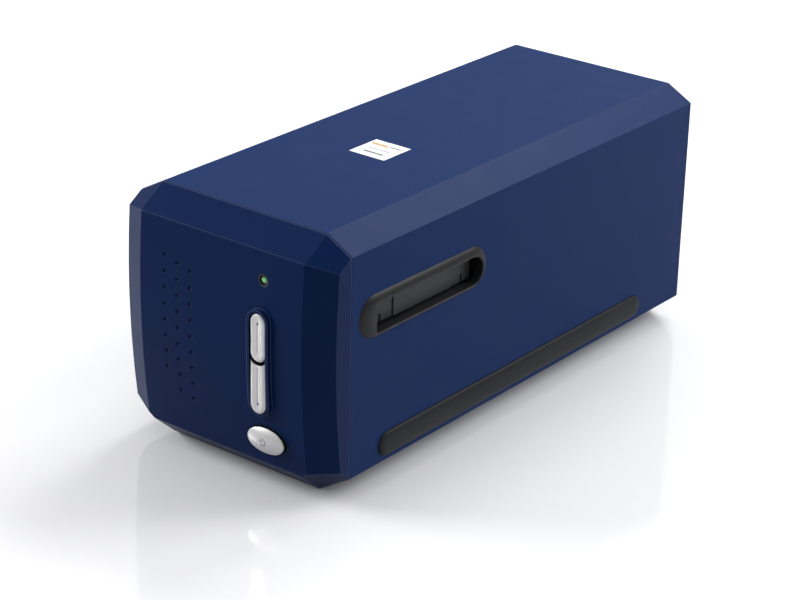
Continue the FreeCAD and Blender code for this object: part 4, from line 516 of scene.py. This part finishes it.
# Place in the profile where a button's silver face ends and its skirt, dark as painted shade, starts
SKIRT_RING = 1
# A printed dot, its place from the button's end and how deep its two sides lie behind the face
MARK_RADIUS = 0.5
MARK_SIDES = 20
MARK_ASIDE = 0.3
UPPER_MARK_DROP = 0.4
LOWER_MARK_RISE = 0.6
MARK_DEPTHS = (0.19, 0.155)


def nested_oval(middle, low, split):
    """The lower button's outline: round below, hollowed above to clear the upper button."""
    rows = []
    for turn in angles(math.pi, math.pi, NEST_STEPS):
        rows.append(((middle, low), (math.cos(turn) * BUTTON_RADIUS, math.sin(turn) * BUTTON_RADIUS)))
    nest = BUTTON_RADIUS + BUTTON_SPLIT_GAP
    reach = math.acos(BUTTON_RADIUS / nest)
    top = split - nest - NEST_DROP
    for turn in angles(-reach, 2 * reach - math.pi, NEST_STEPS):
        rows.append(((middle, top), (math.cos(turn) * nest, split + math.sin(turn) * nest - top)))
    return rows


def scan_button(name, body, outline, face):
    """A crowned silver button with a fine groove down its middle."""
    thing, shape = piece(name + "_cap", "button_silver", body, name)
    thing.data.materials.append(MATERIALS["black_plastic"])
    levels = []
    for inset, depth in BUTTON_PROFILE:
        levels.append([(u, face + depth, v) for u, v in drawn_in(outline, 1 - inset / BUTTON_RADIUS)])
    skin(shape, levels, close_start=True)
    # Painted shade: the skirt made dark for the shade in the gap round the button
    paint_skirt_shade(shape, face + BUTTON_PROFILE[SKIRT_RING][1])
    settle(thing, shape, angle=50.0)


def button_mark(name, body, middle, height, face):
    """A small printed dot over the groove."""
    thing, shape = piece(name, "black_plastic", body)
    levels = [ring(middle, height, MARK_RADIUS, face + depth, MARK_SIDES) for depth in MARK_DEPTHS]
    skin(shape, levels, close_start=True)
    settle(thing, shape)


def scan_buttons():
    """The two scan buttons that share one opening, each with its dot."""
    middle, _, face = centre("scan_button_lower")
    split = UPPER_BOTTOM + BUTTON_RADIUS
    top = BUTTON_TOP - BUTTON_RADIUS
    bottom = BUTTON_BOTTOM + BUTTON_RADIUS
    upper = oval((middle, split), (middle, top), BUTTON_RADIUS)
    scan_button("scan_button_upper", "upper_button", upper, face)
    scan_button("scan_button_lower", "lower_button", nested_oval(middle, bottom, split), face)
    button_mark("scan_button_upper_mark", "upper_button", middle + MARK_ASIDE, top - UPPER_MARK_DROP, face)
    button_mark("scan_button_lower_mark", "lower_button", middle + MARK_ASIDE, bottom + LOWER_MARK_RISE, face)


# Power button

# Half its width and half its height
POWER_WIDE = 10.0
POWER_TALL = 5.9
# Radii of its dome, across and up
POWER_LONG = 31.5
POWER_SHORT = 9.0
POWER_SIDES = 72
# Depth of its skirt behind the peak, and how far behind the dome's rim its skirt, dark as painted shade,
# starts
POWER_SKIRT = 3.4
POWER_LIP = 0.5
# Size of each ring of the dome as a share of the whole, and how far the first is rolled back
POWER_RING_SHARES = (0.992, 0.97, 0.93, 0.86, 0.75, 0.6, 0.42, 0.22, 0.05)
POWER_RIM_ROLL = 0.18
# Inner and outer radius of the power mark's arc, where it starts and how far it goes round, in degrees
ARC_RADII = (1.25, 1.6)
ARC_START = 125
ARC_SWEEP = 290
ARC_STEPS = 24
# Half width, bottom and top of the mark's bar, and how far the print lies over the dome
BAR_HALF = 0.18
BAR_BOTTOM = 0.5
BAR_TOP = 1.9
PRINT_PROUD = 0.02


def power_depth(across, up):
    """How far the power button's face lies behind its peak."""
    rolled = POWER_LONG - POWER_SHORT + math.sqrt(POWER_SHORT ** 2 - up ** 2)
    return POWER_LONG - math.sqrt(rolled ** 2 - across ** 2)


def power_oval(share):
    """Places round the power button's centre at a share of its size."""
    return [(math.cos(turn) * POWER_WIDE * share, math.sin(turn) * POWER_TALL * share)
            for turn in circle(POWER_SIDES)]


def power_button():
    """The domed oval button with its skirt painted dark as shade, and its power mark."""
    middle, height, peak = centre("power_button")
    thing, shape = piece("power_button_cap", "button_silver", "power_key", "power_button")
    thing.data.materials.append(MATERIALS["black_plastic"])
    lip = power_depth(POWER_WIDE, 0) + POWER_LIP
    levels = []
    for depth in (POWER_SKIRT, lip):
        levels.append([(middle + across, peak + depth, height + up) for across, up in power_oval(1.0)])
    for share in POWER_RING_SHARES:
        roll = POWER_RIM_ROLL if share == POWER_RING_SHARES[0] else 0.0
        levels.append([(middle + across, peak + power_depth(across, up) + roll, height + up)
                       for across, up in power_oval(share)])
    skin(shape, levels, close_start=True)
    # Painted shade: the skirt made dark for the shade in the gap round the button
    paint_skirt_shade(shape, peak + lip)
    settle(thing, shape, angle=60.0)
    power_symbol(middle, height, peak)


def power_symbol(middle, height, peak):
    """A printed ring open at the top with a short bar in the gap."""
    thing, shape = piece("power_symbol", "chassis_grey", "power_key")
    arc = []
    for turn in angles(math.radians(ARC_START), math.radians(ARC_SWEEP), ARC_STEPS):
        arc.append([(math.cos(turn) * radius, math.sin(turn) * radius) for radius in ARC_RADII])
    bar = [[(-BAR_HALF, level), (BAR_HALF, level)] for level in (BAR_BOTTOM, BAR_TOP)]
    for stroke in (arc, bar):
        rows = []
        for row in stroke:
            rows.append([(middle + u, peak + power_depth(u, v) - PRINT_PROUD, height + v) for u, v in row])
        skin(shape, rows, close_end=False, loop=False)
    settle(thing, shape)


# Status light

# Inset from the bush's rim and depth behind its front of each ring of its rounding
BUSH_ROUNDING = ((0.0, 0.25), (0.12, 0.05), (0.3, 0.0))
# Radius and depth behind its front of each ring of its bore's lip
BUSH_LIP = ((2.22, 0.03), (2.14, 0.15))
BUSH_BORE = 2.12
LENS_RADIUS = 2.1
LENS_LENGTH = 2.5
LENS_DOME = 0.65
LENS_STEPS = 9


def status_light():
    """The dark bush in the front cover and the domed lens in it."""
    low, high = in_mm("status_light_ring")
    middle, height, front = centre("status_light_ring")
    rim = (high.x - low.x) / 2
    profile = [(rim, high.y)]
    profile += [(rim - inset, front + depth) for inset, depth in BUSH_ROUNDING]
    profile += [(radius, front + depth) for radius, depth in BUSH_LIP]
    profile += [(BUSH_BORE, high.y)]
    thing, shape = piece("status_light_bush", "black_plastic", "casing", "status_light_ring")
    skin(shape, [ring(middle, height, radius, y) for radius, y in profile], close_end=False)
    settle(thing, shape)

    front = centre("status_light_pipe")[2]
    profile = [(LENS_RADIUS, front + LENS_LENGTH), (LENS_RADIUS, front + LENS_DOME)]
    for turn in angles(0.0, math.pi / 2, LENS_STEPS)[:-1]:
        profile.append((LENS_RADIUS * math.cos(turn), front + LENS_DOME - LENS_DOME * math.sin(turn)))
    thing, shape = piece("status_light_lens", "light_green", "casing", "status_light_pipe")
    skin(shape, [ring(middle, height, radius, y) for radius, y in profile], close_start=True)
    settle(thing, shape, angle=60.0)


# Slot bezels

BEZEL_RADIUS = 9.7
BEZEL_STEPS = 18
# The opening: half its height, its bottom, its square end near the front and its round end
OPENING_HALF = 6.45
OPENING_BOTTOM = 73.6
OPENING_FRONT = -103.5
OPENING_REAR = -30.8
# How far the square end's half turn overshoots the opening's height, and the cut of its corners
SQUARE_REACH = 1.35
SQUARE_CUT = 1.3
# Longest side of the rim's outline
LONGEST_SIDE = 3.0
# Share of the way from the bezel's rim to its opening, and distance from the casing's middle, of each ring
BEZEL_PROFILE = ((0.0, 58.3), (0.0, 58.5), (0.03, 58.68), (0.1, 58.93), (0.2, 59.22), (0.34, 59.53),
                 (0.48, 59.76), (0.62, 59.91), (0.74, 59.99), (0.82, 60.0), (0.9, 59.94), (0.96, 59.8),
                 (1.0, 59.5), (1.0, 59.0), (1.0, 56.1))


def opening():
    """The slot's outline, round at its rear end and square at its front end."""
    height = OPENING_BOTTOM + OPENING_HALF
    points = []
    for turn in angles(-math.pi / 2, math.pi, BEZEL_STEPS):
        points.append((OPENING_REAR - OPENING_HALF + math.cos(turn) * OPENING_HALF,
                       height + math.sin(turn) * OPENING_HALF))
    for turn in angles(math.pi / 2, math.pi, BEZEL_STEPS):
        rise = math.sin(turn) * SQUARE_REACH
        cut = max(0.0, abs(rise) - 1) / (SQUARE_REACH - 1) * SQUARE_CUT
        points.append((OPENING_FRONT + cut, height + OPENING_HALF * max(-1.0, min(1.0, rise))))
    return points


def divided(pairs):
    """The pairs of points of two outlines, with more of them along straight runs of the first."""
    result = []
    for (outer, inner), (next_outer, next_inner) in zip(pairs, pairs[1:] + pairs[:1]):
        count = max(1, round(math.dist(outer, next_outer) / LONGEST_SIDE))
        for step in range(count):
            share = step / count
            result.append(tuple(tuple(a + (b - a) * share for a, b in zip(first, second))
                                for first, second in ((outer, next_outer), (inner, next_inner))))
    return result


def bezel(name, side):
    """A domed surround of the film slot; side is 1 on the right and -1 on the left."""
    low, high = in_mm(name)
    height = (low.z + high.z) / 2
    rim = oval((low.y + BEZEL_RADIUS, height), (high.y - BEZEL_RADIUS, height), BEZEL_RADIUS, BEZEL_STEPS)
    thing, shape = piece(name + "_rim", "bezel_grey", "casing", name)
    pairs = divided(list(zip(drawn_in(rim), opening())))
    levels = []
    for share, out in BEZEL_PROFILE:
        row = []
        for (u, v), (iu, iv) in pairs:
            row.append((side * out, u + (iu - u) * share, v + (iv - v) * share))
        levels.append(row)
    skin(shape, levels, close_end=False)
    settle(thing, shape, angle=48.0)


# Side strips

STRIP_STEPS = 16
# Inset from the strip's rim, and distance from the casing's middle, of each ring
STRIP_PROFILE = ((0.0, 57.95), (0.0, 58.75), (0.12, 59.0), (0.4, 59.28), (0.9, 59.52), (1.7, 59.74),
                 (2.8, 59.91), (4.2, 60.0), (5.2, 60.0))


def strip(name, side):
    """A domed rubber strip low on a side wall; side is 1 on the right and -1 on the left."""
    low, high = in_mm(name)
    radius = (high.z - low.z) / 2
    height = (low.z + high.z) / 2
    outline = oval((low.y + radius, height), (high.y - radius, height), radius, STRIP_STEPS)
    thing, shape = piece(name + "_pad", "strip_grey", "casing", name)
    levels = []
    for inset, out in STRIP_PROFILE:
        levels.append([(side * out, u, v) for u, v in drawn_in(outline, 1 - inset / radius)])
    skin(shape, levels)
    settle(thing, shape, angle=60.0)


# Camera, light and floor: all sizes and places are in metres

# The camera's direction in degrees, its place and its lens in millimetres
CAMERA_AZIMUTH = 37.775
CAMERA_ELEVATION = 23.680
CAMERA_ROLL = 1.333
CAMERA_PLACE = (0.6108, -0.7998, 0.4782)
CAMERA_LENS = 106.46
SENSOR_WIDTH = 36.0


def camera():
    """The camera, fitted to the photo."""
    azimuth, elevation = math.radians(CAMERA_AZIMUTH), math.radians(CAMERA_ELEVATION)
    roll = math.radians(CAMERA_ROLL)
    back = Vector((math.sin(azimuth) * math.cos(elevation), -math.cos(azimuth) * math.cos(elevation),
                   math.sin(elevation)))
    right = Vector((math.cos(azimuth), math.sin(azimuth), 0))
    up = back.cross(right)
    across = right * math.cos(roll) + up * math.sin(roll)
    upward = up * math.cos(roll) - right * math.sin(roll)
    data = bpy.data.cameras.new("camera")
    data.lens = CAMERA_LENS
    data.sensor_width = SENSOR_WIDTH
    data.clip_start = 0.02
    data.clip_end = 50.0
    eye = bpy.data.objects.new("camera", data)
    turn = Matrix((across, upward, back)).transposed().to_4x4()
    eye.matrix_world = Matrix.Translation(Vector(CAMERA_PLACE)) @ turn
    bpy.context.scene.collection.objects.link(eye)
    bpy.context.scene.camera = eye


# Name, place, target, size and power in watts of each lamp
LAMPS = (
    ("rear_right", (0.75, 0.9, 0.95), (0.0, 0.0, 0.05), (0.6, 0.6), 8.5),
    ("rear", (-0.15, 1.15, 1.3), (0.0, 0.0, 0.05), (0.8, 0.6), 14.0),
    ("right", (0.75, 0.55, 0.5), (0.0, 0.0, 0.08), (0.4, 0.4), 2.5),
    ("left", (-1.25, -0.65, 0.7), (0.0, 0.0, 0.05), (0.7, 0.5), 17.0),
)


def lamp(name, place, target, size, power):
    """A soft rectangular lamp that faces a target."""
    data = bpy.data.lights.new(name, "AREA")
    data.shape = "RECTANGLE"
    data.size, data.size_y = size
    data.energy = power
    thing = bpy.data.objects.new(name, data)
    way = Vector(place) - Vector(target)
    thing.rotation_mode = "QUATERNION"
    thing.rotation_quaternion = way.to_track_quat("Z", "Y")
    thing.location = place
    bpy.context.scene.collection.objects.link(thing)


FLOOR_RADIUS = 6.0
FLOOR_SIDES = 96
# The floor's colour in the light that it throws on the part, and as it is seen
FLOOR_THROWN = (0.25, 0.25, 0.26, 1.0)
FLOOR_SEEN = (0.87, 0.87, 0.88, 1.0)


def floor():
    """A glossy white floor that throws only a little light on the part."""
    mesh = bpy.data.meshes.new("floor")
    shape = bmesh.new()
    bmesh.ops.create_circle(shape, cap_ends=True, radius=FLOOR_RADIUS, segments=FLOOR_SIDES)
    shape.to_mesh(mesh)
    shape.free()
    thing = bpy.data.objects.new("floor", mesh)
    bpy.context.scene.collection.objects.link(thing)
    made = Shader("floor")
    path = made.node("ShaderNodeLightPath")
    seen = path.outputs["Is Camera Ray"]
    for kind in ("Is Glossy Ray", "Is Transmission Ray"):
        seen = made.combine("MAXIMUM", seen, path.outputs[kind])
    pale = made.node("ShaderNodeMix", data_type="RGBA")
    pale.inputs["A"].default_value = FLOOR_THROWN
    pale.inputs["B"].default_value = FLOOR_SEEN
    made.join(seen, pale.inputs["Factor"])
    made.feed("Base Color", pale.outputs["Result"])
    made.set(Roughness=0.08, Specular_IOR_Level=0.8)
    mesh.materials.append(made.material)


# Light from the sky at the horizon, straight above, and at heights between, from 0 to 1
SKY_ENDS = ((0.0, 0.25), (1.0, 0.35))
SKY_BETWEEN = ((0.15, 0.48), (0.45, 0.65), (0.6, 0.9), (0.78, 0.6))
# The curve's values end at 1, so it holds the strengths divided by this
SKY_FACTOR = 2.0


def sky():
    """A white sky whose strength changes with height."""
    world = bpy.data.worlds.new("studio")
    bpy.context.scene.world = world
    world.use_nodes = True
    made = Nodes(world.node_tree)
    split = made.node("ShaderNodeSeparateXYZ")
    levels = made.node("ShaderNodeFloatCurve")
    curve = levels.mapping.curves[0]
    for point, (height, strength) in zip(curve.points, SKY_ENDS):
        point.location = (height, strength / SKY_FACTOR)
    for height, strength in SKY_BETWEEN:
        curve.points.new(height, strength / SKY_FACTOR)
    levels.mapping.update()
    made.join(made.place.outputs["Generated"], split.inputs["Vector"])
    made.join(split.outputs["Z"], levels.inputs["Value"])
    back = made.tree.nodes["Background"]
    made.join(made.combine("MULTIPLY", levels.outputs["Value"], SKY_FACTOR), back.inputs["Strength"])
    back.inputs["Color"].default_value = (1.0, 1.0, 1.0, 1.0)


paint_nodes()
scan_buttons()
power_button()
status_light()
for place_name, place_side in (("right", 1), ("left", -1)):
    bezel("slot_bezel_" + place_name, place_side)
    strip("rubber_strip_" + place_name, place_side)
camera()
floor()
sky()
for values in LAMPS:
    lamp(*values)

view = bpy.context.scene.view_settings
view.view_transform = "Standard"
